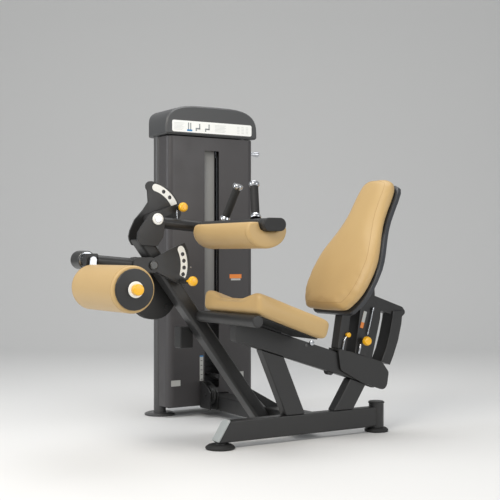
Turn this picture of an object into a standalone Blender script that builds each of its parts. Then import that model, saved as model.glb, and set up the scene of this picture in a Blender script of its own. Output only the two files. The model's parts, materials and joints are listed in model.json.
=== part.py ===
"""Seated leg curl machine with a selectorised weight tower.

Metres, +Z up. The origin is on the floor under the front foot, in the seat's centre plane.
+X runs to the rear of the seat, and +Y runs to the weight tower.
"""

import math

import bmesh
import bpy
from mathutils import Matrix, Vector

# ---------------------------------------------------------------- driving sizes
GAP = 0.0003            # clearance left between two pieces that touch
RAIL_WIDTH = 0.050      # across Y, shared by the rail, the legs and the beam
RAIL_BOTTOM = 0.025
RAIL_TOP = 0.110
POST_X = 0.797          # rear foot post
POST_R = 0.033
FOOT_T = 0.018
FRONT_FOOT_R = 0.060
REAR_FOOT_R = 0.0525
BEAM_DEPTH = 0.090
BEAM_FALL = 0.32        # drop per metre towards the rear
BEAM_Z = 0.400          # height of the beam's centre line at X = 0.300
BEAM_FRONT = 0.058
BEAM_REAR = 0.800
CROSS_X0 = 0.400
CROSS_X1 = 0.510
CROSS_Z0 = 0.030
CROSS_Z1 = 0.100
GRAB_X = 0.050
GRAB_Z = 0.519
GRAB_R = 0.0245
STRUT_Y0 = 0.250
STRUT_Y1 = 0.330
STRUT_W = 0.060
PLATE_T = 0.010         # the two pivot plates
THIGH_X = -0.160
THIGH_Z = 0.925
THIGH_PIN_AT = 22        # degrees above the rear, where the thigh pin sits
THIGH_SCALE_IN = 0.126
THIGH_SCALE_OUT = 0.157
KNEE_X = -0.200
KNEE_Z = 0.735
SHAFT_R = 0.0120
HOUSING_R = 0.033
CAM_X = -0.115
CAM_Z = 0.613
CAM_R = 0.110
CAM_Y0 = 0.355
CAM_Y1 = 0.390
HUB_X = -0.4625         # roller link pivot
HUB_Z = 0.757
ROLLER_X = -0.473
ROLLER_Z = 0.652
ROLLER_R = 0.088
ROLLER_HALF = 0.194
LINK_R = 0.0145
SEAT_HALF = 0.220
SEAT_T = 0.082
BACK_T = 0.068
SHELL_T = 0.034
TOWER_X = 0.420
TOWER_Y = 0.933
TOWER_POST_DX = 0.216
TOWER_POST_R = 0.030
TOWER_TOP = 1.353
SLOT_Z0 = 0.130
SLOT_Z1 = TOWER_TOP - 0.069
CAP_SIDE = 0.032         # the cap's upright sides, above the tower
CAP_RISE = 0.112         # its arch, above those
CAP_HOLLOW = 0.087
SHROUD_Y = 0.800        # front face of the front shroud
SHROUD_HALF = 0.240
SHEET_T = 0.004
REAR_Y = 1.016           # rear face of the rear shroud
REAR_HALF = 0.205
REAR_ROUND = 0.070       # its vertical corners
CAP_REAR = 1.026
CAP_ROUND = 0.090        # the cap's two rear corners, seen from above
ROD_DX = 0.105
ROD_R = 0.0125
PLATE_PITCH = 0.025
STACK_Z = 0.1015
KNOB_R = 0.0200
HOLE_R = 0.0078          # setting holes in the plates
SCALE_HOLE_R = 0.0088    # the wider holes in the scales over them
THIGH_KNOB_Y = 0.2450     # outer face of the thigh knob
LEG_KNOB_Y = 0.0900       # outer face of the leg knob
SCALE_T = 0.0012          # printed scale plates
LATHE_FINENESS = 0.75   # share of each turned piece's nominal step count

# ---------------------------------------------------------------- scene and small tools
for old in list(bpy.data.objects):
    bpy.data.objects.remove(old, do_unlink=True)

PARTS = bpy.data.collections.new("seated_leg_curl")
CUTTERS = bpy.data.collections.new("cutters")
bpy.context.scene.collection.children.link(PARTS)
bpy.context.scene.collection.children.link(CUTTERS)
CUTTERS.hide_render = True

CHARCOAL = (0.031, 0.031, 0.032)
SHEET = (0.080, 0.076, 0.078)
TAN = (0.53, 0.38, 0.18)
BLACK = (0.012, 0.012, 0.012)
YELLOW = (0.85, 0.52, 0.03)
CHROME = (0.72, 0.73, 0.75)
WHITE = (0.84, 0.84, 0.80)
GREY = (0.32, 0.34, 0.34)


def material(name, colour, metal=0.0, rough=0.5):
    """One Principled material for one piece."""
    made = bpy.data.materials.new(name)
    made.use_nodes = True
    shader = made.node_tree.nodes["Principled BSDF"]
    shader.inputs["Base Color"].default_value = (*colour, 1.0)
    shader.inputs["Metallic"].default_value = metal
    shader.inputs["Roughness"].default_value = rough
    made.diffuse_color = (*colour, 1.0)
    return made


def emit(name, bm, colour=CHARCOAL, metal=0.0, rough=0.5, cutter=False):
    """Turn a bmesh into an object in the right collection."""
    bmesh.ops.recalc_face_normals(bm, faces=bm.faces)
    if bm.calc_volume(signed=True) < 0:
        bmesh.ops.reverse_faces(bm, faces=bm.faces)
    mesh = bpy.data.meshes.new(name)
    bm.to_mesh(mesh)
    bm.free()
    obj = bpy.data.objects.new(name, mesh)
    if cutter:
        CUTTERS.objects.link(obj)
        obj.hide_render = True
        obj.display_type = "WIRE"
    else:
        PARTS.objects.link(obj)
        mesh.materials.append(material(name, colour, metal, rough))
    return obj


def boolean(target, tool, operation):
    """Add one exact Boolean, with its tool kept as a wire in the cutters collection."""
    if tool.name not in CUTTERS.objects:
        PARTS.objects.unlink(tool)
        CUTTERS.objects.link(tool)
    tool.hide_render = True
    tool.display_type = "WIRE"
    step = target.modifiers.new(operation.lower() + "_" + tool.name, "BOOLEAN")
    step.operation = operation
    step.solver = "EXACT"
    step.object = tool
    return target


def join(target, *tools):
    for tool in tools:
        boolean(target, tool, "UNION")
    return target


def cut(target, *tools):
    for tool in tools:
        boolean(target, tool, "DIFFERENCE")
    return target


def loft(bm, rings, closed=False):
    """Join rings of equal count with quads, and cap the two ends."""
    made = [[bm.verts.new(p) for p in ring] for ring in rings]
    count = len(made[0])
    pairs = list(zip(made, made[1:]))
    if closed:
        pairs.append((made[-1], made[0]))
    for a, b in pairs:
        for i in range(count):
            j = (i + 1) % count
            bm.faces.new((a[i], a[j], b[j], b[i]))
    if not closed:
        bm.faces.new(list(reversed(made[0])))
        bm.faces.new(made[-1])
    return made


def bevel_sharp(bm, width, segments=2, angle=30):
    """Round every edge whose faces turn by more than the angle."""
    if width <= 0:
        return
    bm.normal_update()
    sharp = [e for e in bm.edges if e.is_manifold and e.calc_face_angle(0) > math.radians(angle)]
    bmesh.ops.bevel(bm, geom=sharp, offset=width, offset_type="OFFSET", segments=segments,
                    profile=0.5, affect="EDGES", material=-1, clamp_overlap=True)


def prism(name, outline, low, high, axis="Y", bevel=0.0, segments=2, angle=30, **kw):
    """An outline extruded along one axis. The outline is (X, Z) for Y, (X, Y) for Z, (Y, Z) for X."""
    def at(p, t):
        if axis == "Y":
            return (p[0], t, p[1])
        if axis == "Z":
            return (p[0], p[1], t)
        return (t, p[0], p[1])
    bm = bmesh.new()
    loft(bm, [[at(p, low) for p in outline], [at(p, high) for p in outline]])
    bmesh.ops.recalc_face_normals(bm, faces=bm.faces)
    bevel_sharp(bm, bevel, segments, angle)
    return emit(name, bm, **kw)


def box(name, x, y, z, bevel=0.0, segments=2, **kw):
    """An axis-aligned box from three (low, high) pairs."""
    outline = [(x[0], z[0]), (x[1], z[0]), (x[1], z[1]), (x[0], z[1])]
    return prism(name, outline, y[0], y[1], "Y", bevel, segments, **kw)


def lathe(name, base, axis, profile, steps=24, **kw):
    """Turn (radius, distance) pairs about an axis through base. Closed at both ends."""
    steps = max(10, round(steps * LATHE_FINENESS / 2) * 2)
    axis = Vector(axis).normalized()
    side = axis.cross(Vector((0, 0, 1)))
    if side.length < 0.1:
        side = Vector((1, 0, 0))
    side.normalize()
    other = axis.cross(side)
    base = Vector(base)
    bm = bmesh.new()
    rings = []
    for r, t in profile:
        ring = []
        for i in range(steps):
            a = 2 * math.pi * i / steps
            ring.append(base + axis * t + (side * math.cos(a) + other * math.sin(a)) * r)
        rings.append(ring)
    hollow = abs(profile[0][0] - profile[-1][0]) < 1e-9 and abs(profile[0][1] - profile[-1][1]) < 1e-9
    if hollow:
        loft(bm, rings[:-1], closed=True)
    else:
        loft(bm, rings)
    return emit(name, bm, **kw)


def rod(name, a, b, r, steps=20, **kw):
    """A plain round bar between two points."""
    a, b = Vector(a), Vector(b)
    return lathe(name, a, b - a, [(r, 0), (r, (b - a).length)], steps, **kw)


def along_y(name, x, z, profile, steps=24, **kw):
    """A turned piece on an axis along Y, with the profile's distances given as Y."""
    return lathe(name, (x, 0, z), (0, 1, 0), profile, steps, **kw)


def arc(cx, cz, r, a0, a1, count):
    """Points on a circle in the XZ plane, angles in degrees from +X towards +Z."""
    out = []
    for i in range(count + 1):
        a = math.radians(a0 + (a1 - a0) * i / count)
        out.append((cx + r * math.cos(a), cz + r * math.sin(a)))
    return out


def rounded(points, radii, steps=4):
    """Round the corners of a polygon with arcs of the given radii."""
    out = []
    n = len(points)
    for i in range(n):
        p, r = Vector(points[i]), radii[i] if isinstance(radii, (list, tuple)) else radii
        if r <= 0:
            out.append(tuple(p))
            continue
        a = (Vector(points[i - 1]) - p)
        b = (Vector(points[(i + 1) % n]) - p)
        la, lb = a.length, b.length
        a.normalize()
        b.normalize()
        half = math.acos(max(-1, min(1, a.dot(b)))) / 2
        back = min(r / math.tan(half), la * 0.49, lb * 0.49)
        r = back * math.tan(half)
        mid = (a + b).normalized()
        centre = p + mid * (r / math.sin(half))
        start, end = p + a * back - centre, p + b * back - centre
        a0 = math.atan2(start.y, start.x)
        turn = math.atan2(end.y, end.x) - a0
        while turn > math.pi:
            turn -= 2 * math.pi
        while turn < -math.pi:
            turn += 2 * math.pi
        for k in range(steps + 1):
            t = a0 + turn * k / steps
            out.append((centre.x + r * math.cos(t), centre.y + r * math.sin(t)))
    return out


BEAM_COS = math.cos(math.atan(BEAM_FALL))
BEAM_V = BEAM_DEPTH / 2 / BEAM_COS


def beam_z(x):
    return BEAM_Z - BEAM_FALL * (x - 0.300)


HALF = RAIL_WIDTH / 2

# ---------------------------------------------------------------- base
SLANT_LOW = (-0.020, RAIL_BOTTOM)
SLANT_HIGH = (0.035, RAIL_TOP)
rail = prism("base_rail", [SLANT_LOW, (POST_X, RAIL_BOTTOM), (POST_X, RAIL_TOP), SLANT_HIGH],
             -HALF, HALF, bevel=0.006)
post_cutter = lathe("post_cutter", (POST_X, 0, 0), (0, 0, 1), [(POST_R + 0.001, 0), (POST_R + 0.001, 0.3)],
                    24, cutter=True)
cut(rail, post_cutter)

slant = Vector((SLANT_HIGH[0] - SLANT_LOW[0], SLANT_HIGH[1] - SLANT_LOW[1])).normalized()
out = Vector((-slant.y, slant.x))


def slant_point(end, away, slide):
    return (end[0] + out.x * away + slant.x * slide, end[1] + out.y * away + slant.y * slide)


prism("rail_end_cap",
      [slant_point(SLANT_LOW, GAP, 0.0035), slant_point(SLANT_LOW, 0.010, 0.0035),
       slant_point(SLANT_HIGH, 0.010, 0.002), slant_point(SLANT_HIGH, GAP, 0.002)],
      -HALF - 0.001, HALF + 0.001, bevel=0.003, colour=GREY)

lathe("front_foot", (0, 0, 0), (0, 0, 1),
      [(FRONT_FOOT_R - 0.002, 0), (FRONT_FOOT_R, 0.003), (FRONT_FOOT_R, 0.009), (FRONT_FOOT_R - 0.012, FOOT_T),
       (0.022, FOOT_T + 0.001), (0.020, RAIL_BOTTOM - GAP)], 32, colour=BLACK)
lathe("rear_foot", (POST_X, 0, 0), (0, 0, 1),
      [(REAR_FOOT_R - 0.002, 0), (REAR_FOOT_R, 0.003), (REAR_FOOT_R, 0.010), (REAR_FOOT_R - 0.010, FOOT_T)],
      32, colour=BLACK)
lathe("rear_post", (POST_X, 0, 0), (0, 0, 1),
      [(POST_R, FOOT_T + GAP), (POST_R, RAIL_TOP + 0.014), (POST_R + 0.003, RAIL_TOP + 0.015),
       (POST_R + 0.003, RAIL_TOP + 0.020), (POST_R - 0.002, RAIL_TOP + 0.024)], 32)

cross = box("cross_member", (CROSS_X0, CROSS_X1), (HALF + GAP, 0.9047), (CROSS_Z0, CROSS_Z1), bevel=0.008)

# ---------------------------------------------------------------- legs and seat beam
beam_line = [(BEAM_FRONT, beam_z(BEAM_FRONT) - BEAM_V), (BEAM_REAR, beam_z(BEAM_REAR) - BEAM_V),
             (BEAM_REAR, beam_z(BEAM_REAR) + BEAM_V), (BEAM_FRONT, beam_z(BEAM_FRONT) + BEAM_V)]
beam = prism("seat_beam", beam_line, -HALF, HALF, bevel=0.006)
grab_cutter = along_y("grab_cutter", GRAB_X, GRAB_Z, [(GRAB_R + 0.0010, -0.1), (GRAB_R + 0.0010, 0.1)],
                      28, cutter=True)
lug = along_y("beam_lug", 0.538, beam_z(0.538) - BEAM_V + 0.004, [(0.017, -0.014), (0.017, 0.014)], 16)
cut(join(beam, lug), grab_cutter)


def leg_between(name, x0, x1, z1, w):
    """A leg from the rail's top face up to the beam's underside, leaning."""
    d = Vector((x1 - x0, z1 - RAIL_TOP)).normalized()
    across = w / 2 / d.y
    lo = RAIL_TOP + GAP

    def meet(x):
        slope = d.y / d.x
        under = beam_z(x) - BEAM_V - GAP * 2
        return x + (under - lo) / (slope + BEAM_FALL), 0
    left, right = x0 - across, x0 + across
    lx = meet(left)[0]
    rx = meet(right)[0]
    pts = [(left, lo), (right, lo), (rx, beam_z(rx) - BEAM_V - GAP), (lx, beam_z(lx) - BEAM_V - GAP)]
    return prism(name, pts, -HALF, HALF, bevel=0.006)


leg_between("front_leg", 0.352, 0.225, 0.400, 0.088)
leg_between("rear_leg", 0.600, 0.700, 0.260, 0.088)

grab = along_y("grab_tube", GRAB_X, GRAB_Z,
               [(GRAB_R - 0.006, -0.208), (GRAB_R - 0.001, -0.2055), (GRAB_R, -0.200), (GRAB_R, STRUT_Y0 - GAP)], 28)

# ---------------------------------------------------------------- strut and the two pivots
STRUT_A = (-0.195, 0.818)
STRUT_B = (0.0607, 0.476)
strut_dir = Vector((STRUT_B[0] - STRUT_A[0], STRUT_B[1] - STRUT_A[1])).normalized()
strut_n = Vector((-strut_dir.y, strut_dir.x)) * (STRUT_W / 2)


def strut_edge(side, x=None, z=None):
    """A point on one edge of the strut, at a given X or Z."""
    px, pz = STRUT_A[0] + side * strut_n.x, STRUT_A[1] + side * strut_n.y
    if x is not None:
        t = (x - px) / strut_dir.x
    else:
        t = (z - pz) / strut_dir.y
    return (px + strut_dir.x * t, pz + strut_dir.y * t)


foot_x = CROSS_X0 - GAP
strut_line = [strut_edge(1, z=0.838), strut_edge(1, x=foot_x), (foot_x, CROSS_Z0 + 0.004),
              strut_edge(-1, z=CROSS_Z0 + 0.004), strut_edge(-1, z=0.842)]
strut = prism("strut", strut_line, STRUT_Y0, STRUT_Y1, bevel=0.014, segments=3)
gusset_x = strut_edge(1, z=0.210)[0]
gusset = prism("strut_gusset", [(gusset_x + 0.004, 0.200), (CROSS_X1 - 0.020, CROSS_Z1 - 0.004),
                                (CROSS_X0 + 0.010, CROSS_Z1 - 0.004)], 0.286, 0.294)
gusset_clear = prism("gusset_clear", [strut_edge(1.02, z=0.30), strut_edge(1.02, z=0.02), strut_edge(-1.02, z=0.02),
                                      strut_edge(-1.02, z=0.30)], STRUT_Y0 - 0.001, STRUT_Y1 + 0.001, cutter=True)
cut(gusset, gusset_clear)
join(cross, gusset)
housing = along_y("knee_housing", KNEE_X, KNEE_Z,
                  [(HOUSING_R - 0.002, 0.2180), (HOUSING_R, 0.2200), (HOUSING_R, 0.3440), (HOUSING_R - 0.002, 0.3460)], 28)
strut_cutter = prism("strut_cutter", [strut_edge(1.03, z=0.90), strut_edge(1.03, z=0.5), strut_edge(-1.03, z=0.5),
                                      strut_edge(-1.03, z=0.90)],
                     STRUT_Y0 - 0.001, STRUT_Y1 + 0.001, cutter=True)
knee_bore = along_y("knee_bore", KNEE_X, KNEE_Z, [(SHAFT_R + 0.0006, 0.10), (SHAFT_R + 0.0006, 0.45)], 24, cutter=True)
cut(housing, strut_cutter, knee_bore)
cut(strut, knee_bore)

near_line = rounded([(-0.150, 0.962), (-0.188, 0.950), (-0.222, 0.908), (-0.249, 0.868), (-0.251, 0.840), (-0.236, 0.818),
                     (-0.160, 0.812), (-0.132, 0.850), (-0.122, 0.925)],
                    [0.030, 0.030, 0.03, 0.02, 0.02, 0.012, 0.014, 0.03, 0.030], 3)
near = prism("pivot_plate_near", near_line, STRUT_Y0 - GAP - PLATE_T, STRUT_Y0 - GAP, bevel=0.001, segments=1)
R1 = 0.164
far_line = arc(THIGH_X, THIGH_Z, R1, 14, 84, 12)
far_line += arc(THIGH_X + 0.1415 * math.cos(math.radians(84)), THIGH_Z + 0.1415 * math.sin(math.radians(84)),
                0.0225, 110, 230, 4)
far_line += [(-0.156, 1.000), (-0.180, 0.966), (-0.219, 0.924), (-0.240, 0.880), (-0.246, 0.855), (-0.243, 0.838),
             (-0.232, 0.819), (-0.200, 0.812), (-0.162, 0.815), (-0.138, 0.845), (-0.118, 0.876), (-0.080, 0.902),
             (-0.030, 0.925), (-0.012, 0.932), (-0.003, 0.945)]
far = prism("pivot_plate_far", far_line, STRUT_Y1 + GAP, STRUT_Y1 + GAP + PLATE_T)
SCALE_A, SCALE_B = 30, 75
scale_line = arc(THIGH_X, THIGH_Z, THIGH_SCALE_OUT, SCALE_A, SCALE_B, 12)
mid = (THIGH_SCALE_IN + THIGH_SCALE_OUT) / 2
wide = (THIGH_SCALE_OUT - THIGH_SCALE_IN) / 2


def round_end(cx, cz, at, a0, a1):
    """The half circle that ends an arc-shaped strip."""
    px = cx + mid * math.cos(math.radians(at))
    pz = cz + mid * math.sin(math.radians(at))
    return arc(px, pz, wide, a0, a1, 6)[1:-1]


scale_line += round_end(THIGH_X, THIGH_Z, SCALE_B, SCALE_B, SCALE_B + 180)
scale_line += arc(THIGH_X, THIGH_Z, THIGH_SCALE_IN, SCALE_B, SCALE_A, 12)
scale_line += round_end(THIGH_X, THIGH_Z, SCALE_A, SCALE_A + 180, SCALE_A + 360)
scale = prism("thigh_scale", scale_line, STRUT_Y1 - SCALE_T, STRUT_Y1, colour=WHITE)
for i, at in enumerate((THIGH_PIN_AT, 43, 58)):
    hx = THIGH_X + mid * math.cos(math.radians(at))
    hz = THIGH_Z + mid * math.sin(math.radians(at))
    cut(far, along_y("thigh_hole_%d" % i, hx, hz, [(HOLE_R, 0.30), (HOLE_R, 0.36)], 12, cutter=True))
    if i:
        window = [(SCALE_HOLE_R, 0.30), (SCALE_HOLE_R, STRUT_Y1 + GAP / 2)]
        cut(scale, along_y("thigh_window_%d" % i, hx, hz, window, 14, cutter=True))
THIGH_SHAFT_R = 0.0100
along_y("thigh_shaft", THIGH_X, THIGH_Z,
        [(0.019, 0.2285), (0.0240, 0.2310), (0.0240, 0.2385), (THIGH_SHAFT_R, 0.2386), (THIGH_SHAFT_R, 0.3450)], 24,
        colour=WHITE)
thigh_bore = along_y("thigh_bore", THIGH_X, THIGH_Z, [(THIGH_SHAFT_R + 0.0006, 0.10), (THIGH_SHAFT_R + 0.0006, 0.45)],
                     24, cutter=True)
cut(near, thigh_bore)
cut(far, thigh_bore)

# ---------------------------------------------------------------- thigh arm, its pad, grips and pull pin
oval = rounded([(0.050, 0.870), (0.150, 0.870), (0.150, 0.920), (0.050, 0.920)], 0.0249, 6)


def grown(points, cx, cz, by):
    """An oval made a little larger about its centre."""
    out_points = []
    for x, z in points:
        v = Vector((x - cx, z - cz))
        v = v + v.normalized() * by
        out_points.append((cx + v.x, cz + v.y))
    return out_points


oval_cutter = prism("oval_cutter", grown(oval, 0.100, 0.895, 0.0008), -0.30, 0.32, cutter=True)
arm = along_y("thigh_arm", THIGH_X, THIGH_Z,
              [(0.0225, STRUT_Y0 + 0.0006), (0.0240, STRUT_Y0 + 0.002), (0.0240, STRUT_Y1 - 0.002 - 0.0040),
               (0.0225, STRUT_Y1 - 0.0046)], 24)
arm_bar = rod("thigh_arm_bar", (-0.160, 0.285, 0.916), (0.080, 0.285, 0.896), 0.0240, 24)
lever_line = [(-0.165, 0.912)] + arc(THIGH_X + mid * math.cos(math.radians(THIGH_PIN_AT)), THIGH_Z + mid * math.sin(math.radians(THIGH_PIN_AT)),
                                     0.016, -60, 110, 6) + [(-0.168, 0.947)]
lever = prism("thigh_lever", lever_line, 0.3040, 0.3140)
pin_x = THIGH_X + mid * math.cos(math.radians(THIGH_PIN_AT))
pin_z = THIGH_Z + mid * math.sin(math.radians(THIGH_PIN_AT))
bush = along_y("thigh_bush", pin_x, pin_z, [(0.0120, 0.2850), (0.0120, 0.3120)], 18)
pin_bore = along_y("thigh_pin_bore", pin_x, pin_z, [(0.0056, 0.20), (0.0056, 0.40)], 16, cutter=True)
cut(join(arm, arm_bar, lever, bush), oval_cutter, thigh_bore, pin_bore)
prism("thigh_cross_tube", oval, -0.238, 0.312, bevel=0.002, segments=1, angle=50)
plug = rounded([(0.049, 0.869), (0.151, 0.869), (0.151, 0.921), (0.049, 0.921)], 0.0255, 6)
prism("thigh_end_plug", plug, -0.252, -0.238 - GAP, bevel=0.004, segments=2, angle=50, colour=BLACK)

pad_line = [(0.165, 0.905)] + [(0.085 + 0.092 * math.cos(math.radians(a)), 0.872 + 0.070 * math.sin(math.radians(a)))
                               for a in range(15, -196, -15)] + [(0.005, 0.905)]
thigh_pad = prism("thigh_pad", pad_line, -SEAT_HALF, SEAT_HALF, bevel=0.006, segments=2, angle=50, colour=TAN)
cut(thigh_pad, oval_cutter)
for label, side in (("near", -1), ("far", 1)):
    base = Vector((0.092, side * 0.120, 0.925))
    top = Vector((0.122, side * 0.060, 1.066))
    length = (top - base).length
    grip = lathe("grip_" + label, base, top - base,
                 [(0.0210, -0.018), (0.0210, 0.010), (0.0160, 0.013), (0.0155, length - 0.016), (0.0205, length - 0.014),
                  (0.0205, length - 0.005), (0.0150, length)], 24, colour=BLACK)
    cut(grip, oval_cutter)


def pull_pin(name, x, z, y_knob, y_tip, r=0.005):
    """A domed pull knob on a locking pin, along Y."""
    return along_y(name, x, z,
                   [(KNOB_R * 0.50, y_knob), (KNOB_R * 0.84, y_knob + 0.003), (KNOB_R, y_knob + 0.010), (KNOB_R, y_knob + 0.020),
                    (KNOB_R * 0.75, y_knob + 0.027), (0.0090, y_knob + 0.029), (r, y_knob + 0.030), (r, y_tip)], 20, colour=YELLOW)


# Each adjusting pin is drawn just clear of its plate, as it is while the setting is changed.
pull_pin("thigh_pin", pin_x, pin_z, THIGH_KNOB_Y, STRUT_Y1 - SCALE_T - GAP)

# ---------------------------------------------------------------- knee shaft, cam and start quadrant
along_y("knee_shaft", KNEE_X, KNEE_Z,
        [(0.0150, 0.1860), (0.0190, 0.1885), (0.0190, 0.1955), (SHAFT_R, 0.1956), (SHAFT_R, CAM_Y1 + 0.004)], 24,
        colour=CHROME, metal=1.0, rough=0.2)
shaft_seat = along_y("shaft_seat", KNEE_X, KNEE_Z, [(SHAFT_R + GAP * 1.5, 0.10), (SHAFT_R + GAP * 1.5, 0.45)], 24,
                     cutter=True)
cam = along_y("cam", CAM_X, CAM_Z,
              [(CAM_R - 0.003, CAM_Y0), (CAM_R, CAM_Y0 + 0.003), (CAM_R, CAM_Y0 + 0.008), (CAM_R - 0.012, CAM_Y0 + 0.011),
               (CAM_R - 0.012, CAM_Y1 - 0.011), (CAM_R, CAM_Y1 - 0.008), (CAM_R, CAM_Y1 - 0.003), (CAM_R - 0.003, CAM_Y1)],
              40, colour=BLACK)
web = prism("cam_web", arc(KNEE_X, KNEE_Z, 0.034, 35, 215, 10) + arc(CAM_X, CAM_Z, 0.060, 215, 395, 8),
            CAM_Y0 + 0.004, CAM_Y1 - 0.004)
cam_bolt = along_y("cam_bolt", CAM_X + 0.056, CAM_Z - 0.060, [(0.012, CAM_Y0 - 0.006), (0.012, CAM_Y0 + 0.010)], 12)
cut(join(cam, web, cam_bolt), shaft_seat)

Q_Y0, Q_Y1 = 0.2080, 0.2155
quad_line = arc(KNEE_X, KNEE_Z, 0.176, -30, 32, 12) + [(-0.120, 0.800)] + arc(KNEE_X, KNEE_Z, 0.032, 70, 290, 12)
quad_line += [(-0.120, 0.676)]
quad = prism("start_quadrant", quad_line, Q_Y0, Q_Y1)
K_IN, K_OUT = 0.132, 0.163
mid, wide = (K_IN + K_OUT) / 2, (K_OUT - K_IN) / 2
leg_line = arc(KNEE_X, KNEE_Z, K_OUT, -16, 26, 9) + round_end(KNEE_X, KNEE_Z, 26, 26, 206)
leg_line += arc(KNEE_X, KNEE_Z, K_IN, 26, -16, 9) + round_end(KNEE_X, KNEE_Z, -16, 164, 344)
leg_scale = prism("leg_scale", leg_line, Q_Y0 - GAP - SCALE_T, Q_Y0 - GAP, colour=WHITE)
for i, at in enumerate((-26, -15, -4, 7, 18)):
    hx = KNEE_X + mid * math.cos(math.radians(at))
    hz = KNEE_Z + mid * math.sin(math.radians(at))
    cut(quad, along_y("leg_hole_%d" % i, hx, hz, [(HOLE_R, 0.18), (HOLE_R, 0.23)], 12, cutter=True))
    if i:
        window = [(SCALE_HOLE_R, 0.18), (SCALE_HOLE_R, Q_Y0 - GAP / 2)]
        cut(leg_scale, along_y("leg_window_%d" % i, hx, hz, window, 14, cutter=True))
cut(quad, shaft_seat)

# ---------------------------------------------------------------- leg arm
L_Y0, L_Y1 = 0.1965, 0.2055
leg_pin_x = KNEE_X + mid * math.cos(math.radians(-26))
leg_pin_z = KNEE_Z + mid * math.sin(math.radians(-26))
leg_arm = along_y("leg_arm", -0.262, 0.7405, [(0.016, 0.1985), (0.0270, L_Y0 + 0.004), (0.0270, 0.2400), (0.022, 0.2470)], 24)
arm_tube = rod("leg_arm_tube", (-0.262, 0.2260, 0.7405), (-0.438, 0.2260, 0.7554), 0.0220, 24)
arm_plate = prism("leg_arm_plate", arc(KNEE_X, KNEE_Z, 0.030, 5, 90, 5) + arc(-0.262, 0.7405, 0.028, 90, 270, 8)
                  + arc(KNEE_X, KNEE_Z, 0.030, 250, 300, 3) + arc(leg_pin_x, leg_pin_z, 0.0165, 235, 415, 8), L_Y0, L_Y1)
arm_block = box("leg_arm_block", (-0.487, -0.432), (0.2140, 0.2545), (0.731, 0.783), bevel=0.006)
leg_bush = along_y("leg_bush", leg_pin_x, leg_pin_z, [(0.0120, 0.1500), (0.0120, L_Y1 - 0.002)], 18)
leg_pin_bore = along_y("leg_pin_bore", leg_pin_x, leg_pin_z, [(0.0056, 0.05), (0.0056, 0.30)], 16, cutter=True)
link_bore = along_y("link_bore", HUB_X, HUB_Z, [(0.0100, 0.19), (0.0100, 0.2500)], 20, cutter=True)
cut(join(leg_arm, arm_tube, arm_plate, arm_block, leg_bush), knee_bore, leg_pin_bore, link_bore)
pull_pin("leg_pin", leg_pin_x, leg_pin_z, LEG_KNOB_Y, Q_Y0 - SCALE_T - GAP * 2)
along_y("counterweight", HUB_X, HUB_Z,
        [(0.024, 0.2545 + GAP), (0.024, 0.2620), (0.0350, 0.2625), (0.0375, 0.2650), (0.0375, 0.3420), (0.0350, 0.3450)],
        32, colour=(0.06, 0.06, 0.062), metal=1.0, rough=0.35)

# ---------------------------------------------------------------- roller link and roller
N_Y0, N_Y1 = ROLLER_HALF + 0.0006, ROLLER_HALF + 0.0090
down = math.degrees(math.atan2(ROLLER_Z - HUB_Z, ROLLER_X - HUB_X))
link = prism("roller_link", arc(HUB_X, HUB_Z, LINK_R, down + 90, down + 270, 10)
             + arc(ROLLER_X, ROLLER_Z, LINK_R, down - 90, down + 90, 10), N_Y0, N_Y1,
             colour=CHROME, metal=1.0, rough=0.2)
link_pin = along_y("link_pin", HUB_X, HUB_Z, [(0.0095, N_Y1 - 0.002), (0.0095, 0.2480)], 20)
join(link, link_pin)
along_y("roller_shaft", ROLLER_X, ROLLER_Z,
        [(0.0160, -0.2380), (0.0210, -0.2350), (0.0210, -0.2130), (0.0090, -0.2110), (0.0090, N_Y0 - GAP)], 20,
        colour=YELLOW)
BORE = 0.0096
along_y("roller_pad", ROLLER_X, ROLLER_Z,
        [(BORE, -ROLLER_HALF + 0.001), (ROLLER_R - 0.010, -ROLLER_HALF + 0.001), (ROLLER_R - 0.003, -ROLLER_HALF + 0.004),
         (ROLLER_R, -ROLLER_HALF + 0.012), (ROLLER_R, ROLLER_HALF - 0.012), (ROLLER_R - 0.003, ROLLER_HALF - 0.004),
         (ROLLER_R - 0.010, ROLLER_HALF - 0.001), (BORE, ROLLER_HALF - 0.001), (BORE, -ROLLER_HALF + 0.001)],
        40, colour=TAN)
along_y("roller_disc", ROLLER_X, ROLLER_Z,
        [(BORE, -0.2080), (0.030, -0.2080), (0.031, -0.2030), (0.0740, -0.2010), (0.0765, -0.1980), (0.0765, -ROLLER_HALF),
         (BORE, -ROLLER_HALF), (BORE, -0.2080)], 32, colour=BLACK)

# ---------------------------------------------------------------- seat
SEAT_FALL = 0.362
seat_low = [(0.042, 0.5515), (0.372, 0.5515 - SEAT_FALL * 0.330)]
seat_dir = Vector((1, -SEAT_FALL)).normalized()
seat_up = Vector((seat_dir.y * -1, seat_dir.x))


def seat_point(x, up):
    """A point above the cushion's underside, square to it."""
    z = seat_low[0][1] - SEAT_FALL * (x - seat_low[0][0])
    return (x + seat_up.x * up, z + seat_up.y * up)


prism("seat_cushion", [seat_point(0.042, 0), seat_point(0.370, 0), seat_point(0.370, SEAT_T), seat_point(0.020, SEAT_T)],
      -SEAT_HALF, SEAT_HALF, bevel=0.018, segments=3, colour=TAN)
pan = prism("seat_pan", [seat_point(0.085, -GAP), seat_point(0.350, -GAP), seat_point(0.350, -0.0050), seat_point(0.085, -0.0050)],
      -0.180, 0.180, colour=BLACK)
wedge_top = [seat_point(0.110, -0.0030), seat_point(0.280, -0.0030)]
wedge = prism("seat_bracket", [wedge_top[0], wedge_top[1], (wedge_top[1][0], beam_z(wedge_top[1][0]) + BEAM_V + GAP),
                       (wedge_top[0][0], beam_z(wedge_top[0][0]) + BEAM_V + GAP)], -0.022, 0.022)
join(pan, wedge)

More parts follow.
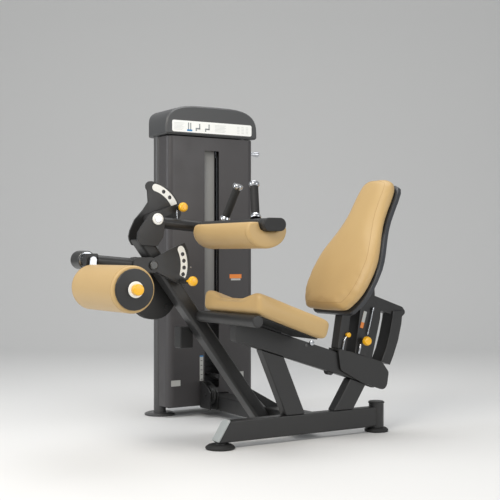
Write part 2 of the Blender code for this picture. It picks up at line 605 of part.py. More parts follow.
# ---------------------------------------------------------------- sliding back carriage
SIDE_IN, SIDE_OUT = HALF + 0.004, HALF + 0.012
CAR_HALF = SIDE_OUT
top_clear = BEAM_V + 0.003


def on_beam(x, above):
    return (x, beam_z(x) + above)


side_line = rounded([on_beam(0.560, BEAM_V + 0.016), on_beam(0.575, -BEAM_V * 0.55), on_beam(0.690, -BEAM_V - 0.004),
                     on_beam(0.824, -BEAM_V - 0.006), (0.838, 0.262), on_beam(0.800, BEAM_V + 0.022)],
                    [0.012, 0.02, 0.01, 0.028, 0.02, 0.01], 4)
near_side = prism("carriage_side_near", side_line, -SIDE_OUT, -SIDE_IN)
far_side = prism("carriage_side_far", side_line, SIDE_IN, SIDE_OUT)
BACK_A = Vector((0.544, 0.533))
BACK_U = Vector((0.4835, 0.8754)).normalized()
BACK_N = Vector((-BACK_U.y, BACK_U.x))


def on_back(along, forward):
    p = BACK_A + BACK_U * along + BACK_N * forward
    return (p.x, p.y)


main_post = prism("carriage_main_post",
                  [on_beam(0.648, top_clear), on_beam(0.716, top_clear), (0.762, 0.602), (0.760, 0.640), (0.690, 0.606)],
                  -CAR_HALF, CAR_HALF, bevel=0.005)
inner_post = prism("carriage_inner_post", [on_beam(0.714, top_clear), on_beam(0.745, top_clear), (0.796, 0.500), (0.800, 0.550),
                                           (0.750, 0.570)], -HALF - 0.004, HALF + 0.004)
top_bar = prism("carriage_top_bar", rounded([(0.730, 0.612), (0.925, 0.546), (0.946, 0.520), (0.915, 0.497), (0.740, 0.550)],
                                            [0.004, 0.014, 0.014, 0.016, 0.004], 4), -HALF - 0.003, HALF + 0.003,
                bevel=0.006, angle=50)
outer = [(0.920, 0.530), (0.912, 0.470), (0.894, 0.400), (0.868, 0.335), (0.832, 0.262)]
inner = [(0.790, 0.300), (0.822, 0.366), (0.842, 0.430), (0.858, 0.498), (0.862, 0.530)]
rear_post = prism("carriage_rear_post", outer + inner, -CAR_HALF, CAR_HALF, bevel=0.005, angle=50)
shelf = prism("carriage_shelf", [on_beam(0.620, top_clear), on_beam(0.805, top_clear), on_beam(0.805, BEAM_V + 0.020),
                                 on_beam(0.620, BEAM_V + 0.020)], -SIDE_IN - 0.004, SIDE_IN + 0.004)
front_shelf = prism("carriage_front_shelf", [on_beam(0.562, top_clear), on_beam(0.640, top_clear), on_beam(0.640, BEAM_V + 0.014),
                                             on_beam(0.562, BEAM_V + 0.014)], -SIDE_IN - 0.004, SIDE_IN + 0.004)
carriage = join(near_side, shelf, front_shelf, far_side)
carriage.name = "carriage_saddle"
carriage.data.name = "carriage_saddle"
loop = join(main_post, inner_post, top_bar, rear_post)
loop.name = "carriage_loop"
saddle_cutter = prism("saddle_cutter", [on_beam(0.50, -0.2), on_beam(0.90, -0.2), on_beam(0.90, BEAM_V + 0.0206),
                                        on_beam(0.50, BEAM_V + 0.0206)], -0.06, 0.06, cutter=True)
cut(loop, saddle_cutter)
tail_cutter = prism("tail_cutter", [(x + 0.0004, z) for x, z in side_line], -0.07, 0.07, cutter=True)
cut(loop, tail_cutter)
front_post = prism("carriage_front_post", [on_beam(0.566, BEAM_V + 0.0146), on_beam(0.612, BEAM_V + 0.0146), (0.640, 0.520),
                                           (0.590, 0.520)], -HALF, HALF, bevel=0.004)

half_width = [(0.000, 0.122), (0.008, 0.138), (0.022, 0.150), (0.045, 0.169), (0.080, 0.187), (0.120, 0.196),
              (0.170, 0.199), (0.220, 0.1965), (0.260, 0.187), (0.300, 0.172), (0.340, 0.155), (0.380, 0.138),
              (0.420, 0.124), (0.460, 0.1145), (0.510, 0.109), (0.560, 0.105), (0.600, 0.098), (0.622, 0.084),
              (0.632, 0.058)]
BACK_MID = half_width[-1][0] / 2


def vase(name, front, rear, inset, **kw):
    """A slab with the vase outline, between two distances forward of the back's plane."""
    bm = bmesh.new()
    rings = []
    for forward, shrink in ((rear, inset), (rear + (front - rear) * 0.25, 0.0), (front - (front - rear) * 0.25, 0.0),
                            (front, inset)):
        ring = []
        for t, w in half_width:
            s = BACK_MID + (t - BACK_MID) * (1 - shrink / BACK_MID)
            x, z = on_back(s, forward)
            ring.append((x, -(w - shrink), z))
        for t, w in reversed(half_width):
            s = BACK_MID + (t - BACK_MID) * (1 - shrink / BACK_MID)
            x, z = on_back(s, forward)
            ring.append((x, w - shrink, z))
        rings.append(ring)
    loft(bm, rings)
    return emit(name, bm, **kw)


vase("back_pad", BACK_T, GAP * 1.5, 0.012, colour=TAN)
shell = vase("back_shell", 0.0, -SHELL_T, 0.014, colour=(0.035, 0.036, 0.040))
post_clear = prism("post_clear", [(0.60, 0.40), (0.80, 0.40), (0.772, 0.6025), (0.772, 0.660), (0.684, 0.6155), (0.60, 0.55)],
                   -CAR_HALF - 0.001, CAR_HALF + 0.001, cutter=True)
front_clear = prism("front_clear", [(0.5895, 0.30), (0.62, 0.30), (0.650, 0.521), (0.5895, 0.521)], -HALF - 0.001,
                    HALF + 0.001, cutter=True)
cut(shell, post_clear, front_clear)

back_pin_x, back_pin_z = 0.682, 0.408
back_bush = along_y("back_pin_bush", back_pin_x, back_pin_z,
                    [(0.0120, -CAR_HALF - 0.022), (0.0120, -CAR_HALF + 0.002)], 16)
back_bore = along_y("back_pin_bore", back_pin_x, back_pin_z, [(0.0056, -0.20), (0.0056, -CAR_HALF + 0.020)], 14, cutter=True)
cut(join(loop, back_bush), back_bore)
pull_pin("back_pin", back_pin_x, back_pin_z, -CAR_HALF - 0.058, -CAR_HALF + 0.016)

# ---------------------------------------------------------------- weight tower
for label, side in (("left", -1), ("right", 1)):
    x = TOWER_X + side * TOWER_POST_DX
    lathe("tower_post_" + label, (x, TOWER_Y, 0), (0, 0, 1),
          [(0.072, 0), (0.075, 0.003), (0.075, 0.008), (0.060, 0.014), (TOWER_POST_R, 0.0145),
           (TOWER_POST_R, TOWER_TOP - GAP)], 28)
post_in = TOWER_POST_DX - TOWER_POST_R - 0.0005
lower = box("tower_base_tube", (TOWER_X - post_in, TOWER_X + post_in), (0.905, 0.961), (0.030, 0.0900), bevel=0.005)


def shroud(name, face, side_y, half, corner, **kw):
    """A folded sheet cover with rounded vertical corners, open on the side away from its face."""
    sign = math.copysign(1, side_y - face)
    inner = corner - SHEET_T
    outer_pts = [(TOWER_X - half, side_y), (TOWER_X - half, face), (TOWER_X + half, face), (TOWER_X + half, side_y)]
    inner_pts = [(TOWER_X + half - SHEET_T, side_y), (TOWER_X + half - SHEET_T, face + sign * SHEET_T),
                 (TOWER_X - half + SHEET_T, face + sign * SHEET_T), (TOWER_X - half + SHEET_T, side_y)]
    line = rounded(outer_pts + inner_pts, [0, corner, corner, 0, 0, inner, inner, 0], 6)
    return prism(name, line, 0.050, TOWER_TOP - 0.006, "Z", **kw)


front = shroud("front_shroud", SHROUD_Y, SHROUD_Y + 0.094, SHROUD_HALF, 0.034, colour=SHEET)
rear = shroud("rear_shroud", REAR_Y, TOWER_Y + 0.010, REAR_HALF, REAR_ROUND, colour=SHEET)
for label, side in (("left", -1), ("right", 1)):
    cut(rear, lathe("rear_clear_" + label, (TOWER_X + side * TOWER_POST_DX, TOWER_Y, 0), (0, 0, 1),
                    [(TOWER_POST_R + 0.0010, 0.02), (TOWER_POST_R + 0.0010, 1.6)], 28, cutter=True))
slot = box("slot_cutter", (0.379, 0.460), (SHROUD_Y - 0.02, SHROUD_Y + 0.02), (SLOT_Z0, SLOT_Z1), bevel=0.004, cutter=True)
notch = box("notch_cutter", (CROSS_X0 - 0.004, CROSS_X1 + 0.004), (SHROUD_Y - 0.02, SHROUD_Y + 0.05), (0.0, CROSS_Z1 + 0.004),
            cutter=True)
cut(front, slot, notch)

CAP_FRONT = 0.790
CAP_MID = 0.419
CAP_HALF = 0.256
cap_line = [(CAP_MID - CAP_HALF, TOWER_TOP), (CAP_MID + CAP_HALF, TOWER_TOP)]
for i in range(21):
    turn = math.pi * i / 20
    reach = math.copysign(abs(math.cos(turn)) ** 0.5, math.cos(turn))
    rise = CAP_RISE * math.sin(turn) ** 0.8 if 0 < i < 20 else 0
    cap_line.append((CAP_MID + CAP_HALF * reach, TOWER_TOP + CAP_SIDE + rise))
cap = prism("top_cap", cap_line, CAP_FRONT, CAP_REAR + 0.05, bevel=0.008, segments=1, angle=50, colour=SHEET)
plan = rounded([(CAP_MID - CAP_HALF - 0.02, CAP_FRONT - 0.02), (CAP_MID + CAP_HALF + 0.02, CAP_FRONT - 0.02),
                (CAP_MID + CAP_HALF + 0.0005, CAP_REAR), (CAP_MID - CAP_HALF - 0.0005, CAP_REAR)], [0, 0, CAP_ROUND, CAP_ROUND], 10)
boolean(cap, prism("cap_plan", plan, TOWER_TOP - 0.1, TOWER_TOP + 0.3, "Z", cutter=True), "INTERSECT")
cap_hollow = box("cap_hollow", (0.370, 0.470), (0.840, 0.990), (TOWER_TOP - 0.1, TOWER_TOP + CAP_HOLLOW), cutter=True)
cut(cap, cap_hollow)
lathe("accessory_peg", (TOWER_X + SHROUD_HALF + GAP, 0.868, TOWER_TOP - 0.065), (1, 0, 0),
      [(0.012, 0), (0.012, 0.004), (0.0075, 0.005), (0.0075, 0.058), (0.011, 0.060), (0.011, 0.066), (0.008, 0.068)], 18,
      colour=CHROME, metal=1.0, rough=0.2)

lower_top = STACK_Z + 3 * PLATE_PITCH
stack_top = STACK_Z + 15 * PLATE_PITCH


def plates(name, z0, count, colour):
    """Weight plates drawn as one block with a groove at each joint."""
    g = 0.0016
    line = []
    for i in range(count):
        lo, hi = z0 + i * PLATE_PITCH, z0 + (i + 1) * PLATE_PITCH
        line += [(0.862, lo + g if i else lo), (0.862, hi - g if i < count - 1 else hi)]
        if i < count - 1:
            line += [(0.868, hi - g), (0.868, hi + g)]
    back = [(2 * TOWER_Y - y, z) for y, z in reversed(line)]
    return prism(name, line + back, TOWER_X - 0.140, TOWER_X + 0.140, "X", colour=colour)


low_plates = plates("lower_plates", STACK_Z, 3, (0.02, 0.02, 0.022))
high_plates = plates("lifted_plates", lower_top + GAP * 2, 12, (0.02, 0.02, 0.022))
for label, side in (("left", -1), ("right", 1)):
    x = TOWER_X + side * ROD_DX
    hole = lathe("rod_hole_" + label, (x, TOWER_Y, 0), (0, 0, 1), [(ROD_R + 0.002, 0.05), (ROD_R + 0.002, 0.9)], 16,
                 cutter=True)
    cut(low_plates, hole)
    cut(high_plates, hole)
    lathe("guide_rod_" + label, (x, TOWER_Y, 0), (0, 0, 1), [(ROD_R, 0.0900 + GAP), (ROD_R, TOWER_TOP - GAP)], 16,
          colour=CHROME, metal=1.0, rough=0.2)
stem_hole = lathe("stem_hole", (TOWER_X, TOWER_Y, 0), (0, 0, 1), [(0.0150, 0.05), (0.0150, lower_top + 0.0003)], 16,
                  cutter=True)
cut(low_plates, stem_hole)
stem = lathe("selector_stem", (TOWER_X, TOWER_Y, 0), (0, 0, 1),
             [(0.0125, STACK_Z + 0.002), (0.0125, stack_top + 0.030), (0.0200, stack_top + 0.031),
              (0.0200, stack_top + 0.060), (0.0060, stack_top + 0.066), (0.0060, stack_top + 0.090)], 18,
             colour=CHROME, metal=1.0, rough=0.2)
stem_seat = lathe("stem_seat", (TOWER_X, TOWER_Y, 0), (0, 0, 1), [(0.0129, 0.05), (0.0129, 0.9)], 18, cutter=True)
cut(high_plates, stem_seat)
pin_height = lower_top + 0.0135
plate_pin_hole = along_y("plate_pin_hole", TOWER_X, pin_height, [(0.0058, 0.80), (0.0058, 0.9345)], 12, cutter=True)
cut(high_plates, plate_pin_hole)
cut(stem, plate_pin_hole)
along_y("selector_pin", TOWER_X, pin_height,
        [(0.0110, 0.7400), (0.0125, 0.7430), (0.0125, 0.7840), (0.0095, 0.7870), (0.0095, 0.8080), (0.0045, 0.8100),
         (0.0045, 0.9330)], 16, colour=BLACK)
lathe("lift_cable", (TOWER_X, TOWER_Y, 0), (0, 0, 1), [(0.0030, stack_top + 0.0903), (0.0030, TOWER_TOP - 0.063)], 10, colour=BLACK)

# ---------------------------------------------------------------- low pulley in front of the tower
P_X, PULLEY_Y, P_Z = 0.374, 0.742, 0.106
pulley = lathe("base_pulley", (P_X, PULLEY_Y, P_Z), (1, 0, 0),
               [(0.0085, -0.011), (0.044, -0.011), (0.045, -0.008), (0.039, -0.003), (0.039, 0.003), (0.045, 0.008),
                (0.044, 0.011), (0.0085, 0.011), (0.0085, -0.011)], 28, colour=BLACK)
cheek = [(0.700, 0.040), (0.7950, 0.040), (0.7950, 0.165), (0.776, 0.165), (0.722, 0.140), (0.700, 0.120)]
bracket = prism("pulley_bracket", cheek, P_X - 0.022, P_X - 0.016, "X")
cheek_b = prism("pulley_cheek_b", cheek, P_X + 0.016, CROSS_X0 - GAP, "X")
bracket_base = box("pulley_base", (P_X - 0.022, CROSS_X0 - GAP), (0.7900, 0.7960), (0.040, 0.1650))
axle = rod("pulley_axle", (P_X - 0.028, PULLEY_Y, P_Z), (P_X + 0.020, PULLEY_Y, P_Z), 0.0080, 16)
join(bracket, cheek_b, bracket_base, axle)

# ---------------------------------------------------------------- guide housing between strut and tower
guide = box("guide_housing", (-0.004, 0.060), (0.3310, 0.3900), (0.376, 0.470), bevel=0.006, colour=BLACK)
guide_clear = prism("guide_clear", [strut_edge(1.03, z=0.60), strut_edge(1.03, z=0.30), strut_edge(-1.03, z=0.30),
                                    strut_edge(-1.03, z=0.60)], STRUT_Y0, STRUT_Y1 + 0.0005, cutter=True)
cut(guide, guide_clear)

# ---------------------------------------------------------------- joint axes
LEG_PIN_AXIS = (leg_pin_x, LEG_KNOB_Y, leg_pin_z)
THIGH_PIN_AXIS = (pin_x, THIGH_KNOB_Y, pin_z)


def hang(name, place, pieces):
    """An empty on a joint's axis carries the pieces that move about it, and each has its origin there."""
    pivot = bpy.data.objects.new("axis_" + name, None)
    PARTS.objects.link(pivot)
    pivot.location = place
    for piece in pieces:
        obj = bpy.data.objects[piece]
        obj.data.transform(Matrix.Translation(-Vector(place)))
        obj.parent = pivot


hang("thigh_adjust", (THIGH_X, 0, THIGH_Z),
     ["thigh_arm", "thigh_cross_tube", "thigh_end_plug", "thigh_pad", "grip_near", "grip_far"])
hang("thigh_pin_pull", THIGH_PIN_AXIS, ["thigh_pin"])
hang("start_position", (KNEE_X, 0, KNEE_Z), ["knee_shaft", "cam", "start_quadrant", "leg_scale"])
hang("leg_curl", (KNEE_X, 0, KNEE_Z), ["leg_arm", "counterweight"])
hang("leg_pin_pull", LEG_PIN_AXIS, ["leg_pin"])
hang("shin_link_swing", (HUB_X, 0, HUB_Z), ["roller_link", "roller_shaft"])
hang("roller_spin", (ROLLER_X, 0, ROLLER_Z), ["roller_pad", "roller_disc"])
hang("back_slide", (BACK_A.x, 0, BACK_A.y),
     ["carriage_saddle", "carriage_loop", "carriage_front_post", "back_pad", "back_shell"])
hang("back_pin_pull", (back_pin_x, 0, back_pin_z), ["back_pin"])
hang("stack_lift", (TOWER_X, TOWER_Y, STACK_Z), ["lifted_plates", "selector_stem", "lift_cable"])
hang("selector_pin_pull", (TOWER_X, TOWER_Y, pin_height), ["selector_pin"])
hang("base_pulley_spin", (P_X, PULLEY_Y, P_Z), ["base_pulley"])
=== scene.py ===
# %% [markdown]
# # Seated leg curl: the looks
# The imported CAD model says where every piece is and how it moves. This script dresses it: each hard
# piece gets rounded, smoothly shaded edges and a finish of its own, the four cushions are made as
# stuffed pads, and the small things a person reads a machine by (decals, seams, collars, bolts) are added.
# Everything is in metres, with +X to the rear of the seat, +Y to the weight tower and +Z up.

# %% Load the frame
import json
import math
import bmesh
import bpy
from mathutils import Matrix, Vector
from mathutils.bvhtree import BVHTree

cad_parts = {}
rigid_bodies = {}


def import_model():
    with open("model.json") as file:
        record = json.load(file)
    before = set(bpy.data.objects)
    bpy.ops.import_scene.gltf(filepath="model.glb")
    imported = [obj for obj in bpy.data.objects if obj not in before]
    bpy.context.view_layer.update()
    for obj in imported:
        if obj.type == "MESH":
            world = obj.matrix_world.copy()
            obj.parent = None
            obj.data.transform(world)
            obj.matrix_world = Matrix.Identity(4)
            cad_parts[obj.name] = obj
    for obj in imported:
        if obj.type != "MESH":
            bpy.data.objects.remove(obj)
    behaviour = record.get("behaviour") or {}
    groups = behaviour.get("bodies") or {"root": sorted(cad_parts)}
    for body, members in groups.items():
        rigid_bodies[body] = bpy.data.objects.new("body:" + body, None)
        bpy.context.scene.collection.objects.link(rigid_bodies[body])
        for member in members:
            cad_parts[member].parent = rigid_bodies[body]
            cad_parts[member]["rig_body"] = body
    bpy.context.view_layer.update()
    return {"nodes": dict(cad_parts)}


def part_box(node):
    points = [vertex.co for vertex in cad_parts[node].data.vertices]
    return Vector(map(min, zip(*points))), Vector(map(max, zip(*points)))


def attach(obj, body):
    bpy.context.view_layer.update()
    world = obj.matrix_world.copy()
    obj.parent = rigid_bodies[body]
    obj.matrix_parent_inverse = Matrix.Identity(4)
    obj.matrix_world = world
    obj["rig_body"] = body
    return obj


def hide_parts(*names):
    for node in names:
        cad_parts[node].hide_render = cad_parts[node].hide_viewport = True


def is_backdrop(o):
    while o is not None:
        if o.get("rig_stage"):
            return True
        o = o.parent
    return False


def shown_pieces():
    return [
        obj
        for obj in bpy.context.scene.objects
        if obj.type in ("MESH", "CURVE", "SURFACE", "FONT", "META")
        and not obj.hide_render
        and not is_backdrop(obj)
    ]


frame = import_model()
NODES = frame["nodes"]
BODY = {n: o["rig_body"] for n, o in NODES.items()}
MM = 0.001

# %% [markdown]
# ## Places taken from the frame
# Pads, seams and decals sit on CAD pieces, so their places are read from the boxes of those pieces.
# A few slopes, such as the seat's fall, are design values that the boxes can't give.

# %% Places
def centre(node):
    low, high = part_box(node)
    return (low + high) / 2


def size(node):
    low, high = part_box(node)
    return high - low


THIGH = Vector((centre("thigh_shaft").x, 0, centre("thigh_shaft").z))
KNEE = Vector((centre("knee_housing").x, 0, centre("knee_housing").z))
ROLLER = centre("roller_pad")
PAD_LOW, PAD_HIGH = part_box("thigh_pad")
SEAT_FALL = 0.362
BACK_START = Vector((0.544, 0, 0.533))
BACK_UP = Vector((0.4835, 0, 0.8754)).normalized()
BACK_OUT = Vector((-BACK_UP.z, 0, BACK_UP.x))
print("thigh axis", THIGH, "knee axis", KNEE, "roller", ROLLER)

# %% [markdown]
# ## Colour and nodes
# Paint colours are chosen as sRGB hex, the way a paint card gives them, and shaders work in linear
# light, so one function converts. One small function adds a shader node and links or sets its inputs.

# %% Colour and node helpers
def linear(hexcode):
    """An sRGB hex colour as linear RGBA."""
    out = []
    for i in (0, 2, 4):
        c = int(hexcode[i:i + 2], 16) / 255
        out.append(c / 12.92 if c <= 0.04045 else ((c + 0.055) / 1.055) ** 2.4)
    return (*out, 1.0)


def add(tree, kind, inputs=None, **settings):
    """Adds a node. An input given a socket is linked, and any other value is set on it."""
    made = tree.nodes.new(kind)
    for key, value in settings.items():
        setattr(made, key, value)
    for key, value in (inputs or {}).items():
        if isinstance(value, bpy.types.NodeSocket):
            tree.links.new(value, made.inputs[key])
        else:
            made.inputs[key].default_value = value
    return made


def principled(name, colour, rough=0.5, metal=0.0, coat=0.0):
    """A material with a Principled shader, and the tree and shader to build on."""
    made = bpy.data.materials.new(name)
    made.use_nodes = True
    tree = made.node_tree
    shader = tree.nodes["Principled BSDF"]
    shader.inputs["Base Color"].default_value = linear(colour)
    shader.inputs["Roughness"].default_value = rough
    shader.inputs["Metallic"].default_value = metal
    shader.inputs["Coat Weight"].default_value = coat
    return made, tree, shader


def object_space(tree):
    return add(tree, "ShaderNodeTexCoord").outputs["Object"]


def bump(tree, height, strength, depth_mm):
    return add(tree, "ShaderNodeBump", {"Strength": strength, "Distance": depth_mm * MM, "Height": height})


print("tan upholstery in linear light:", [round(v, 3) for v in linear("c0a26d")])

# %% [markdown]
# ## Powder coat
# The welded frame is powder coated: a dark charcoal with a satin gloss and a faint orange peel, where
# the powder has flowed into bumps about a millimetre and a half across. A noise of that size drives a
# very shallow bump, and a larger, softer noise makes the gloss vary a little from place to place.

# %% Powder coat
def powder(name, colour, rough, peel_mm=1.6, peel=0.10):
    made, tree, shader = principled(name, colour, rough)
    where = object_space(tree)
    fine = add(tree, "ShaderNodeTexNoise", {"Vector": where, "Scale": 1 / (peel_mm * MM), "Detail": 2.0})
    cloud = add(tree, "ShaderNodeTexNoise", {"Vector": where, "Scale": 9.0, "Detail": 3.0})
    gloss = add(tree, "ShaderNodeMapRange", {"Value": cloud.outputs["Fac"], "From Min": 0.3, "From Max": 0.7,
                                             "To Min": rough - 0.05, "To Max": rough + 0.06})
    tree.links.new(gloss.outputs["Result"], shader.inputs["Roughness"])
    tree.links.new(bump(tree, fine.outputs["Fac"], peel, 0.25).outputs["Normal"], shader.inputs["Normal"])
    return made


CHARCOAL = powder("charcoal_powder_coat", "282828", 0.40)
SHEET = powder("sheet_powder_coat", "413f40", 0.40, peel_mm=1.2, peel=0.06)
POST = powder("post_powder_coat", "4a4a4a", 0.34)
print("coats made:", CHARCOAL.name, SHEET.name, POST.name)

# %% [markdown]
# ## Upholstery vinyl
# The cushions are wrapped in tan vinyl with a small pebble grain. Leather grain is a pattern of cells
# with soft valleys, so a Voronoi cell distance makes the valleys and a noise breaks them up. The tan
# drifts slightly in tone over the pad, as stretched vinyl does.

# %% Vinyl
PEBBLE_MM = 1.5         # one pebble of the grain


def colour_mix(tree, factor, a, b):
    """A colour mix whose A and B sockets are picked by type, since the node lists several of each name."""
    mix = add(tree, "ShaderNodeMix", data_type="RGBA")
    sockets = [s for s in mix.inputs if s.type == "RGBA"]
    tree.links.new(factor, mix.inputs[0])
    sockets[0].default_value = a
    sockets[1].default_value = b
    return [s for s in mix.outputs if s.type == "RGBA"][0]


def vinyl(name, light, dark, rough=0.46):
    made, tree, shader = principled(name, light, rough)
    where = object_space(tree)
    warp = add(tree, "ShaderNodeTexNoise", {"Vector": where, "Scale": 260.0, "Detail": 2.0})
    cells = add(tree, "ShaderNodeTexVoronoi", {"Vector": where, "Scale": 1 / (PEBBLE_MM * MM)},
                feature="DISTANCE_TO_EDGE")
    both = add(tree, "ShaderNodeMath", {0: cells.outputs["Distance"], 1: warp.outputs["Fac"]},
               operation="ADD")
    tone = add(tree, "ShaderNodeTexNoise", {"Vector": where, "Scale": 5.0, "Detail": 3.0})
    mixed = colour_mix(tree, tone.outputs["Fac"], linear(light), linear(dark))
    tree.links.new(mixed, shader.inputs["Base Color"])
    tree.links.new(bump(tree, both.outputs["Value"], 0.16, 0.35).outputs["Normal"], shader.inputs["Normal"])
    shader.inputs["Sheen Weight"].default_value = 0.06
    return made


TAN = vinyl("tan_vinyl", "c0a26d", "b69663")
THREAD = principled("seam_welt", "a3834f", 0.55)[0]
print("vinyl made:", TAN.name)

# %% [markdown]
# ## Plastics, rubber and metals
# These are even finishes, so most are constants on the shader's own sockets. Rubber and moulded
# plastic get a fine grain in their surface, and the satin steel a fainter one.

# %% Other finishes
def textured(name, colour, rough, grain_mm, strength, metal=0.0):
    made, tree, shader = principled(name, colour, rough, metal)
    grain = add(tree, "ShaderNodeTexNoise",
                {"Vector": object_space(tree), "Scale": 1 / (grain_mm * MM), "Detail": 3.0})
    tree.links.new(bump(tree, grain.outputs["Fac"], strength, 0.2).outputs["Normal"], shader.inputs["Normal"])
    return made


RUBBER = textured("black_rubber", "1d1d1d", 0.62, 0.8, 0.25)
BLACK = textured("black_moulding", "1f1f1f", 0.42, 0.9, 0.15)
CAP_PLASTIC = textured("cap_moulding", "434445", 0.40, 1.0, 0.10)
SHELL = textured("back_shell_moulding", "34363a", 0.38, 1.1, 0.12)
GREY = textured("light_grey_plastic", "a4a9a8", 0.45, 1.0, 0.08)
INNER = textured("light_grey_inner", "8c8c8a", 0.55, 1.5, 0.05)
CHROME = principled("chrome", "bcbec2", 0.20, 1.0)[0]
SATIN = textured("dark_satin_steel", "5b5b5a", 0.34, 0.6, 0.08, metal=1.0)
YELLOW = principled("yellow_plastic", "f3b61f", 0.30, 0.0, coat=0.4)[0]
WHITE = principled("white_scale", "f0f0eb", 0.38)[0]
ORANGE = principled("orange_decal", "e8873a", 0.45)[0]
BLUE = principled("blue_decal", "2f7fb8", 0.45)[0]
LABEL = principled("grey_label", "b9bab6", 0.45)[0]
DARK = principled("dark_hole", "0c0c0c", 0.8)[0]
IRON = textured("weight_plate_paint", "2b2b2c", 0.50, 1.2, 0.2)
print("finishes:", len(bpy.data.materials))

# %% [markdown]
# ## Rounded hard pieces
# A real weldment has no knife edges: tube corners are rolled, plates are deburred. The CAD solids are
# kept simple, so each hard piece gets a finer double: its facets are welded, its sharp edges get a
# bevel of about a millimetre, and its round faces are shaded smooth, with the flat faces kept flat by
# weighted normals. The double replaces the CAD node.

# %% Finer doubles of the hard pieces
def refined(node, finish, edge_mm, angle=32):
    source = NODES[node]
    bm = bmesh.new()
    bm.from_mesh(source.data)
    bmesh.ops.remove_doubles(bm, verts=bm.verts, dist=0.00002)
    bmesh.ops.dissolve_limit(bm, angle_limit=math.radians(0.6), verts=bm.verts, edges=bm.edges)
    mesh = bpy.data.meshes.new("fine_" + node)
    bm.to_mesh(mesh)
    bm.free()
    obj = bpy.data.objects.new("fine_" + node, mesh)
    bpy.context.scene.collection.objects.link(obj)
    mesh.materials.append(finish)
    mesh.shade_smooth()
    step = obj.modifiers.new("edges", "BEVEL")
    step.width = edge_mm * MM
    step.segments = 2
    step.limit_method = "ANGLE"
    step.angle_limit = math.radians(angle)
    step.use_clamp_overlap = True
    even = obj.modifiers.new("flat faces", "WEIGHTED_NORMAL")
    even.weight = 80
    even.keep_sharp = True
    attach(obj, BODY[node])
    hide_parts(node)


HARD = {
    CHARCOAL: ["base_rail", "rear_post", "cross_member", "seat_beam", "front_leg", "rear_leg", "grab_tube",
               "strut", "knee_housing", "pivot_plate_near", "pivot_plate_far", "tower_base_tube",
               "thigh_arm", "thigh_cross_tube", "start_quadrant", "leg_arm", "carriage_saddle",
               "carriage_loop", "carriage_front_post", "pulley_bracket"],
    POST: ["tower_post_left", "tower_post_right"],
    SHEET: ["front_shroud", "rear_shroud"],
    CAP_PLASTIC: ["top_cap"],
    RUBBER: ["front_foot", "rear_foot", "thigh_end_plug", "lift_cable"],
    BLACK: ["seat_pan", "roller_disc", "selector_pin", "base_pulley", "guide_housing", "cam"],
    SHELL: ["back_shell"],
    GREY: ["rail_end_cap"],
    WHITE: ["thigh_scale", "leg_scale", "thigh_shaft"],
    YELLOW: ["thigh_pin", "leg_pin", "back_pin", "roller_shaft"],
    CHROME: ["roller_link", "guide_rod_left", "guide_rod_right", "selector_stem"],
    SATIN: ["counterweight", "knee_shaft"],
    IRON: ["lower_plates", "lifted_plates"],
}
THIN = {"thigh_scale", "leg_scale", "lift_cable", "front_shroud", "rear_shroud", "seat_pan", "lower_plates",
        "lifted_plates"}
EDGE_MM, THIN_EDGE_MM = 1.2, 0.4
for finish, names in HARD.items():
    for name in names:
        refined(name, finish, THIN_EDGE_MM if name in THIN else EDGE_MM)
print("hard pieces:", sum(len(names) for names in HARD.values()))

# %% [markdown]
# ## The four cushions
# Each real cushion is a sewn vinyl cover over foam on a board: the cover is cut a little small and pulled
# tight, so its faces crown and its edges round over. A cloth simulation gives that: a copy of the foam
# block is remeshed evenly, its back is held where the board would be, and pressure swells it. The swell
# is capped so that each pad stays in the space the frame leaves for it.

# %% Stuffing
def mesh_object(name, bm, finish, smooth=True):
    mesh = bpy.data.meshes.new(name)
    bm.to_mesh(mesh)
    bm.free()
    obj = bpy.data.objects.new(name, mesh)
    bpy.context.scene.collection.objects.link(obj)
    mesh.materials.append(finish)
    if smooth:
        mesh.shade_smooth()
    return obj


def evaluated_mesh(obj):
    graph = bpy.context.evaluated_depsgraph_get()
    return bpy.data.meshes.new_from_object(obj.evaluated_get(graph), depsgraph=graph)


def apply_all(obj):
    """Replaces the object's mesh with what its modifiers make, and removes them."""
    made = evaluated_mesh(obj)
    obj.modifiers.clear()
    obj.data = made
    return obj


def remeshed(obj, voxel_mm, smooth_rounds=4):
    """Even quads all over, so that cloth bends the same everywhere."""
    step = obj.modifiers.new("even", "REMESH")
    step.mode = "VOXEL"
    step.voxel_size = voxel_mm * MM
    ease = obj.modifiers.new("ease", "SMOOTH")
    ease.factor = 0.5
    ease.iterations = smooth_rounds
    return apply_all(obj)


def swell(jobs, frames=20):
    """Blows up the pads together. Each job is (object, test for a held point, pressure, cap in mm)."""
    before = {}
    for obj, held, pressure, cap in jobs:
        before[obj.name] = [v.co.copy() for v in obj.data.vertices]
        group = obj.vertex_groups.new(name="board")
        group.add([v.index for v in obj.data.vertices if held(v.co)], 1.0, "REPLACE")
        cloth = obj.modifiers.new("cover", "CLOTH").settings
        cloth.quality = 6
        cloth.mass = 0.3
        cloth.tension_stiffness = 18
        cloth.compression_stiffness = 6
        cloth.shear_stiffness = 8
        cloth.bending_stiffness = 6.0
        cloth.use_pressure = True
        cloth.uniform_pressure_force = pressure
        cloth.effector_weights.gravity = 0
        cloth.vertex_group_mass = "board"
    for frame_number in range(1, frames + 1):
        bpy.context.scene.frame_set(frame_number)
    for obj, held, pressure, cap in jobs:
        made = evaluated_mesh(obj)
        most = 0.0
        for v, start in zip(made.vertices, before[obj.name]):
            moved = v.co - start
            most = max(most, moved.length)
            if moved.length > cap * MM:
                v.co = start + moved.normalized() * cap * MM
        obj.data = made
        print(obj.name, "swelled", round(most * 1000, 1), "mm, capped at", cap)
    for obj, *_ in jobs:
        obj.modifiers.clear()
        obj.vertex_groups.clear()
    bpy.context.scene.frame_set(1)


